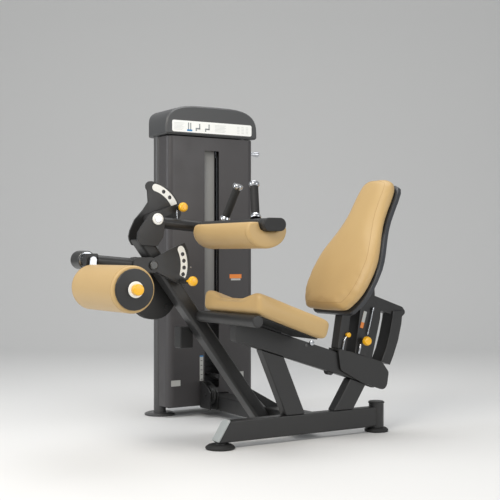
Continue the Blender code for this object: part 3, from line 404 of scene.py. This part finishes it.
def finish_pad(obj, node, ease=6):
    """Smooths a stuffed pad, gives it the vinyl, and lets it stand for its CAD node."""
    calm = obj.modifiers.new("ease", "SMOOTH")
    calm.factor = 0.5
    calm.iterations = ease
    step = obj.modifiers.new("cover", "SUBSURF")
    step.levels = 1
    step.render_levels = 1
    apply_all(obj)
    obj.data.materials.clear()
    obj.data.materials.append(TAN)
    obj.data.shade_smooth()
    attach(obj, BODY[node])
    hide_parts(node)


SEAT_TILT = math.atan(SEAT_FALL)
SEAT_UP = Vector((math.sin(SEAT_TILT), 0, math.cos(SEAT_TILT)))
SEAT_BACKWARD = Vector((math.cos(SEAT_TILT), 0, -math.sin(SEAT_TILT)))
SEAT_START = Vector((0.042, 0, 0.5515))
SEAT_THICK = 0.082
SEAT_LONG = 0.350


def seat_frame(p):
    """How far a point is along the seat, above its underside, and out from the middle."""
    r = p - SEAT_START
    return r.dot(SEAT_BACKWARD), r.dot(SEAT_UP), abs(p.y)


def smoothstep(a, b, x):
    t = min(1.0, max(0.0, (x - a) / (b - a)))
    return t * t * (3 - 2 * t)


print("seat tilts", round(math.degrees(SEAT_TILT), 1), "degrees")

# %% [markdown]
# ## Shapes under the cover
# The seat's foam dips in the middle and rises to a bolster at each side. The back is a tall vase
# shape with a domed face. The thigh pad is a half round that presses on the thighs, and the roller is a
# foam tube with rounded shoulders. Each starts from a copy of its CAD block, remeshed evenly. The seat
# is then dished and the back domed by moving their points by smooth rules, and the others stay as they are.

# %% Foam blocks
def foam_copy(node, voxel_mm=6.0, rounds=5):
    obj = bpy.data.objects.new("pad_" + node, NODES[node].data.copy())
    bpy.context.scene.collection.objects.link(obj)
    obj.data.materials.clear()
    return remeshed(obj, voxel_mm, rounds)


# height along the back rest, then half its width there
BACK_OUTLINE = ((0.000, 0.122), (0.022, 0.150), (0.045, 0.169), (0.080, 0.187), (0.120, 0.196),
                (0.170, 0.199), (0.220, 0.1965), (0.260, 0.187), (0.300, 0.172), (0.340, 0.155),
                (0.380, 0.138), (0.420, 0.124), (0.460, 0.1145), (0.510, 0.109), (0.560, 0.105),
                (0.600, 0.098), (0.632, 0.070))
SEAT_DIP = 0.027        # how deep the seat is dished
LUMBAR_RISE = 0.17      # height of the bulge at the small of the back


def back_half(t):
    """Half width of the back rest at a height along it."""
    for (t0, w0), (t1, w1) in zip(BACK_OUTLINE, BACK_OUTLINE[1:]):
        if t <= t1:
            return w0 + (w1 - w0) * max(0.0, (t - t0) / (t1 - t0))
    return BACK_OUTLINE[-1][1]


seat = foam_copy("seat_cushion")
for v in seat.data.vertices:
    along, above, out = seat_frame(v.co)
    top = smoothstep(0.030, SEAT_THICK, above)
    dish = 1 - smoothstep(0.06, 0.19, out)
    ends = 1 - 0.45 * smoothstep(0.16, 0.33, along)
    v.co -= SEAT_UP * top * (SEAT_DIP * dish * ends + 0.003)
    v.co.y *= 1 - 0.012 * top

back = foam_copy("back_pad")
for v in back.data.vertices:
    r = v.co - BACK_START
    out = r.dot(BACK_OUT)
    top = smoothstep(0.022, 0.068, out)
    rise = r.dot(BACK_UP)
    width = back_half(rise)
    across = min(1.0, abs(v.co.y) / width)
    lumbar = math.exp(-((rise - LUMBAR_RISE) / 0.13) ** 2)
    v.co -= BACK_OUT * top * (0.004 + 0.016 * across ** 3 - 0.008 * lumbar * (1 - across ** 2))
    v.co.y *= 1.035

thigh = foam_copy("thigh_pad", 5.0, 4)
roller = foam_copy("roller_pad", 5.0, 4)

swell([
    (seat, lambda p: seat_frame(p)[1] < 0.012, 2.5, 4),
    (back, lambda p: (p - BACK_START).dot(BACK_OUT) < 0.014, 2.0, 4),
    (thigh, lambda p: p.z > PAD_HIGH.z - 0.016, 2.0, 3),
    (roller, lambda p: math.hypot(p.x - ROLLER.x, p.z - ROLLER.z) < 0.055, 2.0, 2.5),
])
finish_pad(seat, "seat_cushion", 10)
finish_pad(back, "back_pad", 22)
finish_pad(thigh, "thigh_pad")
finish_pad(roller, "roller_pad")
for pad in (seat, back, thigh, roller):
    print(pad.name, len(pad.data.polygons), "faces")

# %% [markdown]
# ## Seams
# A welt is a thin cord sewn into the joint of two panels. Each one here is a tube laid on the finished
# pad: its path is drawn near the surface, and every point is dropped onto the nearest spot of the pad.

# %% Welts
def nearest_on(obj):
    graph = bpy.context.evaluated_depsgraph_get()
    tree = BVHTree.FromObject(obj, graph)
    return lambda p: tree.find_nearest(p)[:2]


def welt(name, pad, path, radius_mm, body, sink=0.35, closed=False):
    """A sewn cord laid along the path on the pad's own surface."""
    drop = nearest_on(pad)
    points = []
    for p in path:
        spot, normal = drop(p)
        points.append(spot - normal * radius_mm * MM * sink)
    curve = bpy.data.curves.new(name, "CURVE")
    curve.dimensions = "3D"
    curve.bevel_depth = radius_mm * MM
    curve.bevel_resolution = 2
    curve.use_fill_caps = True
    line = curve.splines.new("POLY")
    line.points.add(len(points) - 1)
    for knot, p in zip(line.points, points):
        knot.co = (*p, 1.0)
    line.use_cyclic_u = closed
    obj = bpy.data.objects.new(name, curve)
    bpy.context.scene.collection.objects.link(obj)
    curve.materials.append(THREAD)
    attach(obj, body)


def ring_path(x, z, y, r, count=72):
    return [Vector((x + r * math.cos(math.tau * i / count), y, z + r * math.sin(math.tau * i / count)))
            for i in range(count)]


def arc_path(y):
    """The line round the thigh pad's end, a little over half a turn, at one Y."""
    turns = [math.radians(-192 + 204 * i / 60) for i in range(61)]
    middle = (PAD_LOW.x + PAD_HIGH.x) / 2
    return [Vector((middle + 0.10 * math.cos(a), y, PAD_HIGH.z - 0.045 + 0.08 * math.sin(a))) for a in turns]


for side, label in ((-1, "near"), (1, "far")):
    y = ROLLER.y + side * (size("roller_pad").y / 2 - 0.014)
    ring = ring_path(ROLLER.x, ROLLER.z, y, 0.088)
    welt("roller_welt_" + label, roller, ring, 1.0, BODY["roller_pad"], closed=True)
    welt("thigh_welt_" + label, thigh, arc_path(side * (PAD_HIGH.y - 0.020)), 1.0, BODY["thigh_pad"])


WELT_IN = 0.020         # how far the back's welt lies inside its outline
WELT_OUT = BACK_OUT * 0.062    # the welt's line, out from the pad's rear face


def spread(low, high, count):
    """Evenly spaced values from low to high."""
    return [low + (high - low) * i / (count - 1) for i in range(count)]


def back_path():
    low, high = 0.022, 0.606
    start = BACK_START + WELT_OUT
    up = [start + BACK_UP * t + Vector((0, WELT_IN - back_half(t), 0)) for t in spread(low, high, 57)]
    wide, narrow = back_half(low) - WELT_IN, back_half(high) - WELT_IN
    over = [start + BACK_UP * (high + 0.010 * (1 - s * s)) + Vector((0, narrow * s, 0))
            for s in spread(-0.9, 0.9, 19)]
    down = [Vector((p.x, -p.y, p.z)) for p in reversed(up)]
    under = [start + BACK_UP * (low - 0.008 * (1 - s * s)) + Vector((0, -wide * s, 0))
             for s in spread(-0.95, 0.95, 25)]
    return up + over + down + under


welt("back_welt", back, back_path(), 1.1, BODY["back_pad"], sink=0.5, closed=True)
for side, label in ((-1, "near"), (1, "far")):
    edge = SEAT_START + SEAT_UP * 0.070 + Vector((0, side * 0.172, 0))
    line = [edge + SEAT_BACKWARD * along for along in spread(-0.02, SEAT_LONG - 0.02, 41)]
    welt("seat_welt_" + label, seat, line, 0.9, BODY["seat_cushion"], sink=0.6)

# %% [markdown]
# ## Small solid pieces
# Turned and boxed details: the collars of the grips, rings, plungers, bolt heads and labels. A turned
# detail is half its outline, spun once round its own axis. A boxed one is a cube, scaled and bevelled.

# %% Detail makers
def turned(name, start, end, profile, finish, body, steps=32):
    """Turns (radius, share of the way from start to end) points about the line from start to end."""
    start, end = Vector(start), Vector(end)
    length = (end - start).length
    bm = bmesh.new()
    points = [bm.verts.new((r, 0, t * length)) for r, t in profile]
    if profile[0][0] > 0:
        points.insert(0, bm.verts.new((0, 0, profile[0][1] * length)))
    if profile[-1][0] > 0:
        points.append(bm.verts.new((0, 0, profile[-1][1] * length)))
    edges = [bm.edges.new(pair) for pair in zip(points, points[1:])]
    bmesh.ops.spin(bm, geom=points + edges, cent=(0, 0, 0), axis=(0, 0, 1), angle=math.tau, steps=steps,
                   use_merge=True)
    bmesh.ops.remove_doubles(bm, verts=bm.verts, dist=0.00001)
    bmesh.ops.recalc_face_normals(bm, faces=bm.faces)
    turn = (end - start).to_track_quat("Z", "Y").to_matrix().to_4x4()
    bmesh.ops.transform(bm, matrix=Matrix.Translation(start) @ turn, verts=bm.verts)
    obj = mesh_object(name, bm, finish)
    obj.data.set_sharp_from_angle(angle=math.radians(35))
    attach(obj, body)
    return obj


def drum(name, start, end, radius, finish, body, edge_mm=0.8):
    """A plain cylinder with rounded ends."""
    length = (Vector(end) - Vector(start)).length
    e = edge_mm * MM
    k = e / length
    profile = [(radius - e, 0), (radius - e * 0.3, k * 0.3), (radius, k), (radius, 1 - k),
               (radius - e * 0.3, 1 - k * 0.3), (radius - e, 1)]
    turned(name, start, end, profile, finish, body)


def slab(name, low, high, finish, body, bevel_mm=0.5, matrix=None):
    """A box between two corners with small rounded edges, turned by the matrix if there is one."""
    low, high = Vector(low), Vector(high)
    bm = bmesh.new()
    bmesh.ops.create_cube(bm, size=1.0)
    bmesh.ops.scale(bm, vec=high - low, verts=bm.verts)
    bmesh.ops.translate(bm, vec=(low + high) / 2, verts=bm.verts)
    if bevel_mm > 0:
        bmesh.ops.bevel(bm, geom=bm.edges[:], offset=bevel_mm * MM, offset_type="OFFSET", segments=2,
                        profile=0.5, affect="EDGES", material=-1)
    if matrix:
        bmesh.ops.transform(bm, matrix=matrix, verts=bm.verts)
    obj = mesh_object(name, bm, finish)
    obj.data.set_sharp_from_angle(angle=math.radians(40))
    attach(obj, body)


def wire(name, points, radius_mm, finish, body):
    """A bent rod or cable along a smooth curve through the points."""
    curve = bpy.data.curves.new(name, "CURVE")
    curve.dimensions = "3D"
    curve.bevel_depth = radius_mm * MM
    curve.bevel_resolution = 3
    curve.use_fill_caps = True
    line = curve.splines.new("BEZIER")
    line.bezier_points.add(len(points) - 1)
    for knot, p in zip(line.bezier_points, points):
        knot.co = p
        knot.handle_left_type = knot.handle_right_type = "AUTO"
    obj = bpy.data.objects.new(name, curve)
    bpy.context.scene.collection.objects.link(obj)
    curve.materials.append(finish)
    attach(obj, body)


print("detail makers ready")

# %% [markdown]
# ## Grips, knobs and pivot ends
# The grips are ribbed rubber sleeves held between chrome collars. The locking knobs are yellow plastic
# balls on steel plungers, and the pivots end in plain chrome or white caps.

# %% Grips and pivots
THIGH_BODY = BODY["thigh_arm"]
COLLAR_STEPS = 40
RIBS = 20


def ribbed(ribs):
    """The profile of a rubber sleeve with this many ribs."""
    points = [(0.0158, 0), (0.0166, 0.01)]
    for i in range(ribs):
        t = 0.02 + 0.96 * i / ribs
        points += [(0.0168, t), (0.0168, t + 0.030), (0.0160, t + 0.036), (0.0160, t + 0.044)]
    return points + [(0.0166, 0.99), (0.0158, 1.0)]


FOOT_COLLAR = [(0.0215, 0), (0.0222, 0.08), (0.0222, 0.55), (0.0205, 0.70), (0.0175, 1.0)]
HEAD_COLLAR = [(0.0172, 0), (0.0205, 0.25), (0.0218, 0.36), (0.0218, 0.86), (0.0205, 0.97), (0.0150, 1.0)]
for label, side in (("near", -1), ("far", 1)):
    foot = Vector((0.092, side * 0.120, 0.925))
    head = Vector((0.122, side * 0.060, 1.066))
    up = (head - foot).normalized()
    node = "grip_" + label
    grip = turned("rubber_" + node, foot + up * 0.013, head - up * 0.016, ribbed(RIBS), RUBBER,
                  THIGH_BODY, 36)
    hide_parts(node)
    turned("foot_collar_" + label, foot - up * 0.004, foot + up * 0.014, FOOT_COLLAR, CHROME, THIGH_BODY,
           COLLAR_STEPS)
    turned("head_collar_" + label, head - up * 0.018, head + up * 0.001, HEAD_COLLAR, CHROME, THIGH_BODY,
           COLLAR_STEPS)

thigh_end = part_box("thigh_shaft")[0].y
turned("pivot_cap_ring", (THIGH.x, thigh_end - 0.0012, THIGH.z), (THIGH.x, thigh_end + 0.001, THIGH.z),
       [(0.0075, 0), (0.0140, 0.05), (0.0150, 0.4), (0.0150, 1)], CHROME, BODY["thigh_shaft"], COLLAR_STEPS)
roller_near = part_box("roller_disc")[0].y
turned("roller_ring", (ROLLER.x, roller_near - 0.0042, ROLLER.z), (ROLLER.x, roller_near + 0.0005, ROLLER.z),
       [(0.0262, 0), (0.0290, 0.12), (0.0300, 0.4), (0.0300, 1.0)], WHITE, BODY["roller_shaft"], 48)
hub = centre("counterweight")
hub_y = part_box("counterweight")[0].y
turned("weight_collar", (hub.x, hub_y + 0.0064, hub.z), (hub.x, hub_y + 0.0105, hub.z),
       [(0.0290, 0), (0.0325, 0.2), (0.0325, 1.0)], CHROME, BODY["counterweight"], 48)
for node in ("thigh_pin", "leg_pin", "back_pin"):
    knob = centre(node)
    knob_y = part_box(node)[0].y
    turned("plunger_" + node, (knob.x, knob_y + 0.0285, knob.z), (knob.x, knob_y + 0.0345, knob.z),
           [(0.0085, 0), (0.0100, 0.2), (0.0100, 1.0)], CHROME, BODY[node], 24)
print("grips and pivots dressed")

# %% [markdown]
# ## The placard on the cap
# A white instruction placard sits on the cap, with small generic pictures and no words. It is one flat
# outline with round corners, extruded to the thickness of a plastic sheet.

# %% Placard
def decal(name, x, z, front, finish):
    """A thin flat sheet on a face that looks to -Y: x and z are its limits, front is its outer face."""
    slab(name, (x[0], front, z[0]), (x[1], front + 0.0006, z[1]), finish, "frame", 0.0)


PLACARD_THICK = 0.0012
placard_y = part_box("top_cap")[0].y - 0.0008
x0, x1, z0, z1, r = 0.196, 0.640, 1.366, 1.421, 0.009
outline = []
for cx, cz, turn in ((x1 - r, z1 - r, 0), (x0 + r, z1 - r, 90), (x0 + r, z0 + r, 180), (x1 - r, z0 + r, 270)):
    corner = [math.radians(turn + 15 * i) for i in range(7)]
    outline += [(cx + r * math.cos(a), cz + r * math.sin(a)) for a in corner]
bm = bmesh.new()
front_face = bm.faces.new([bm.verts.new((x, placard_y - PLACARD_THICK, z)) for x, z in outline])
deep = bmesh.ops.extrude_face_region(bm, geom=[front_face])
grown = [v for v in deep["geom"] if isinstance(v, bmesh.types.BMVert)]
bmesh.ops.translate(bm, vec=(0, PLACARD_THICK, 0), verts=grown)
bmesh.ops.recalc_face_normals(bm, faces=bm.faces)
placard = mesh_object("placard", bm, principled("placard_white", "f4f5f2", 0.35)[0], smooth=False)
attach(placard, "frame")
print("placard", [round(v, 3) for v in (x0, x1, z0, z1)])

# %% [markdown]
# ## Pictures on the placard
# Rows of plain bars stand for lines of print, and three simple figures stand for the pictures.

# %% Placard pictures
INK = principled("placard_grey", "8f9596", 0.5)[0]
PALE = principled("placard_pale", "cfd3d1", 0.5)[0]
face = placard_y - 0.0016


def bars(name, rows, top, pitch, tall, left, ends):
    """Pale bars down from top, a row each, from left to an end for each row."""
    for i in range(rows):
        low = top - pitch * i
        decal(name + "_%d" % i, (left, ends[i % len(ends)]), (low, low + tall), face, PALE)


bars("notice_line", 6, 1.4075, 0.0062, 0.0017, 0.207, (0.262, 0.256, 0.250))
for i, x in enumerate((0.281, 0.293)):
    decal("leg_picture_%d" % i, (x, x + 0.0055), (1.3800, 1.4120), face, INK)
decal("leg_picture_blue", (0.276, 0.304), (1.3715, 1.3800), face, BLUE)
for i, x in enumerate((0.326, 0.378)):
    decal("seat_picture_back_%d" % i, (x + 0.016, x + 0.022), (1.3830, 1.4100), face, INK)
    decal("seat_picture_seat_%d" % i, (x, x + 0.022), (1.3830, 1.3895), face, INK)
    decal("seat_picture_leg_%d" % i, (x - 0.003, x + 0.003), (1.3740, 1.3895), face, INK)
bars("advice_line", 6, 1.4075, 0.0062, 0.0017, 0.430, (0.492, 0.484))
for column in range(3):
    left = 0.556 + 0.025 * column
    bars("table_%d" % column, 5, 1.4065, 0.0072, 0.0020, left, (left + 0.014,))

# %% [markdown]
# ## The slot and the shroud's labels
# Behind the slot a pale sheet hides the far side of the tower. The shroud carries a strip that marks the
# weights and a few small labels with nothing written on them. A pale grey square low on its left side is
# a painted highlight, a soft patch of light on the sheet metal, and not a label.

# %% Slot sheet, labels and peg
SLOT_LEFT, SLOT_TOP = 0.379, 1.284
SHEET_RIGHT = 0.447     # the sheet stops short of the slot's right edge, and a lip ends it
SHEET_LOW, SHEET_HIGH = 0.500, SLOT_TOP + 0.012
slab("slot_sheet", (SLOT_LEFT - 0.004, 0.8265, SHEET_LOW), (SHEET_RIGHT, 0.8290, SHEET_HIGH), INNER,
     "frame", 0.4)
slab("slot_sheet_lip", (SHEET_RIGHT, 0.8265, SHEET_LOW), (SHEET_RIGHT + 0.003, 0.8360, SHEET_HIGH), SHEET,
     "frame", 0.4)
shroud_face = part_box("front_shroud")[0].y - 0.0007
mark_face = shroud_face - 0.0004
decal("weight_strip", (0.352, 0.371), (0.168, 0.290), shroud_face, LABEL)
decal("weight_strip_blue", (0.352, 0.371), (0.284, 0.290), mark_face, BLUE)
for i in range(5):
    mark = 0.1740 + 0.0225 * i
    decal("weight_mark_%d" % i, (0.356, 0.367), (mark, mark + 0.0025), mark_face, DARK)
decal("caution_orange", (0.520, 0.588), (0.662, 0.682), shroud_face, ORANGE)
decal("caution_white", (0.528, 0.582), (0.652, 0.661), shroud_face, LABEL)
# painted highlight: a pale grey square that stands for a soft patch of light on the shroud's lower left
decal("painted_highlight_square", (0.196, 0.246), (0.150, 0.178), shroud_face, LABEL)
decal("service_label", (0.560, 0.600), (0.170, 0.200), shroud_face, LABEL)
peg_low, peg_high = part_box("accessory_peg")
peg_middle = centre("accessory_peg")
peg = turned("peg", (peg_low.x, peg_middle.y, peg_middle.z), (peg_high.x, peg_middle.y, peg_middle.z),
             [(0.0125, 0), (0.0125, 0.06), (0.0085, 0.09), (0.0085, 0.45), (0.0125, 0.80), (0.0140, 0.90),
              (0.0140, 0.97), (0.0125, 1.0)], CHROME, "frame", COLLAR_STEPS)
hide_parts("accessory_peg")
print("slot sheet up to", SHEET_HIGH, "and the peg", round(peg_high.x - peg_low.x, 3), "long")

# %% [markdown]
# ## Linkage and carriage details
# By the leg scale a short cable ends in a chrome fitting. On the carriage a chrome rod links the
# plunger to its handle, with a small warning label beside it and a second lever further forward.

# %% Linkage and carriage
QUADRANT = BODY["start_quadrant"]
CABLE_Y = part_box("start_quadrant")[1].y + 0.0048
wire("scale_cable", [(-0.030, CABLE_Y, 0.800), (-0.028, CABLE_Y, 0.760), (-0.024, CABLE_Y, 0.715)],
     3.2, RUBBER, QUADRANT)
drum("scale_fitting", (-0.026, CABLE_Y + 0.0010, 0.742), (-0.024, CABLE_Y + 0.0010, 0.716),
     0.0054, CHROME, QUADRANT)
drum("scale_fitting_pin", (-0.040, CABLE_Y, 0.729), (-0.012, CABLE_Y, 0.726), 0.0040, CHROME, QUADRANT)
tx, tz = centre("thigh_pin").x, centre("thigh_pin").z
wire("thigh_release_rod",
     [(tx - 0.016, 0.2830, tz - 0.012), (tx - 0.018, 0.2826, tz - 0.030), (tx - 0.017, 0.2820, tz - 0.052)],
     3.2, CHROME, THIGH_BODY)
CARRIAGE = BODY["carriage_saddle"]
wire("carriage_rod",
     [(0.742, -0.0450, 0.540), (0.733, -0.0452, 0.505), (0.722, -0.0455, 0.466), (0.712, -0.0455, 0.432)],
     3.6, CHROME, CARRIAGE)
drum("carriage_rod_end", (0.744, -0.0445, 0.548), (0.741, -0.0448, 0.536), 0.0060, CHROME, CARRIAGE)
drum("carriage_plunger", (0.676, -0.0450, 0.392), (0.664, -0.0450, 0.352), 0.0052, CHROME, CARRIAGE)
LABEL_PLACE = Matrix.Translation((0.696, -0.0375, 0.497)) @ Matrix.Rotation(math.radians(17), 4, "Y")
slab("carriage_label", (-0.0085, -0.0008, -0.037), (0.0085, 0.0002, 0.037), ORANGE, CARRIAGE, 0.0,
     LABEL_PLACE)
slab("carriage_label_top", (-0.0085, -0.0012, -0.012), (0.0085, -0.0004, 0.037), LABEL, CARRIAGE, 0.0,
     LABEL_PLACE)
wire("height_lever",
     [(0.622, -0.0310, 0.436), (0.606, -0.0315, 0.424), (0.594, -0.0315, 0.396), (0.588, -0.0310, 0.360)],
     4.2, CHROME, CARRIAGE)
drum("height_lever_knob", (0.616, -0.0420, 0.434), (0.616, -0.0270, 0.434), 0.0105, YELLOW, CARRIAGE, 2.0)
drum("seat_bolt", (0.428, -0.0330, 0.408), (0.428, -0.0250, 0.408), 0.0110, CHROME, "frame")
drum("seat_bolt_shank", (0.404, -0.0265, 0.398), (0.404, -0.0250, 0.398), 0.0070, SATIN, "frame", 0.4)

# %% [markdown]
# ## Floor, light and camera
# A pale floor that curves up behind, broad soft lights, and a level camera a little above the seat, in
# front of the machine and on the side away from the tower.

# %% Stage
CAMERA_PLACE = (-2.102, -3.603, 0.777)
CAMERA_YAW = 31.9


def stage_floor():
    """A floor that bends up into a wall behind, square to the camera's view."""
    bend, far, wall, half = 2.6, 4.2, 9.0, 16.0
    profile = [(-9.0, 0.0), (far, 0.0)]
    bends = [math.radians(5 * i) for i in range(1, 19)]
    profile += [(far + bend * math.sin(a), bend * (1 - math.cos(a))) for a in bends]
    profile.append((far + bend, wall))
    bm = bmesh.new()
    edge = [bm.verts.new((-half, d, z)) for d, z in profile]
    lines = [bm.edges.new(pair) for pair in zip(edge, edge[1:])]
    wide = bmesh.ops.extrude_edge_only(bm, edges=lines)
    grown = [v for v in wide["geom"] if isinstance(v, bmesh.types.BMVert)]
    bmesh.ops.translate(bm, vec=(2 * half, 0, 0), verts=grown)
    bmesh.ops.recalc_face_normals(bm, faces=bm.faces)
    square_on = Matrix.Rotation(-math.radians(CAMERA_YAW), 3, "Z")
    bmesh.ops.rotate(bm, cent=(0, 0, 0), matrix=square_on, verts=bm.verts)
    bmesh.ops.translate(bm, vec=(0, 0, -0.0005), verts=bm.verts)
    floor = mesh_object("floor", bm, principled("floor_paint", "e2e2e1", 0.7)[0])
    floor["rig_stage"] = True


def softbox(name, place, look_at, width, height, power, tint="ffffff"):
    light = bpy.data.lights.new(name, "AREA")
    light.shape = "RECTANGLE"
    light.size = width
    light.size_y = height
    light.energy = power
    light.color = linear(tint)[:3]
    obj = bpy.data.objects.new(name, light)
    bpy.context.scene.collection.objects.link(obj)
    obj.location = place
    obj.rotation_euler = (Vector(look_at) - Vector(place)).to_track_quat("-Z", "Y").to_euler()


stage_floor()
AIM = (0.2, 0.4, 0.6)
softbox("key", (-2.4, -1.6, 3.2), AIM, 1.8, 1.8, 95, "fffaf2")
softbox("fill", (1.6, -3.6, 1.6), AIM, 2.2, 2.0, 38)
softbox("left", (-3.4, 1.2, 1.6), AIM, 1.2, 2.2, 34, "f4f8ff")
softbox("top", (0.4, 0.6, 3.8), AIM, 2.4, 2.4, 60)
world = bpy.data.worlds.new("studio")
bpy.context.scene.world = world
world.use_nodes = True
world.node_tree.nodes["Background"].inputs["Color"].default_value = linear("e6e8ea")
world.node_tree.nodes["Background"].inputs["Strength"].default_value = 0.55

camera = bpy.data.cameras.new("camera")
camera.sensor_width = 36.0
camera.lens = 74.88
camera.shift_y = 0.010
eye = bpy.data.objects.new("camera", camera)
bpy.context.scene.collection.objects.link(eye)
eye.location = CAMERA_PLACE
eye.rotation_euler = (math.radians(90), 0, -math.radians(CAMERA_YAW))
bpy.context.scene.camera = eye
bpy.context.scene.view_settings.view_transform = "Standard"
print("camera at", CAMERA_PLACE)

# %% [markdown]
# ## Finishes by name
# The finishes are grouped in a table under the names of what they stand for, such as frame paint or chrome,
# and the shown pieces that wear one of them are counted. Seams, decals and the placard have finishes of their
# own.

# %% Finishes grouped by name
FINISHES = {
    "frame_paint": (CHARCOAL, POST),
    "sheet_paint": (SHEET,),
    "rubber": (RUBBER,),
    "black_plastic": (BLACK, CAP_PLASTIC, SHELL),
    "grey_plastic": (GREY, INNER),
    "white_plastic": (WHITE,),
    "yellow_knob": (YELLOW,),
    "chrome": (CHROME,),
    "satin_steel": (SATIN,),
    "plate_iron": (IRON,),
}
slotted = 0
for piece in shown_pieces():
    held = piece.active_material
    for name, materials in FINISHES.items():
        if held in materials:
            slotted += 1
print(slotted, "hard pieces take a named finish")
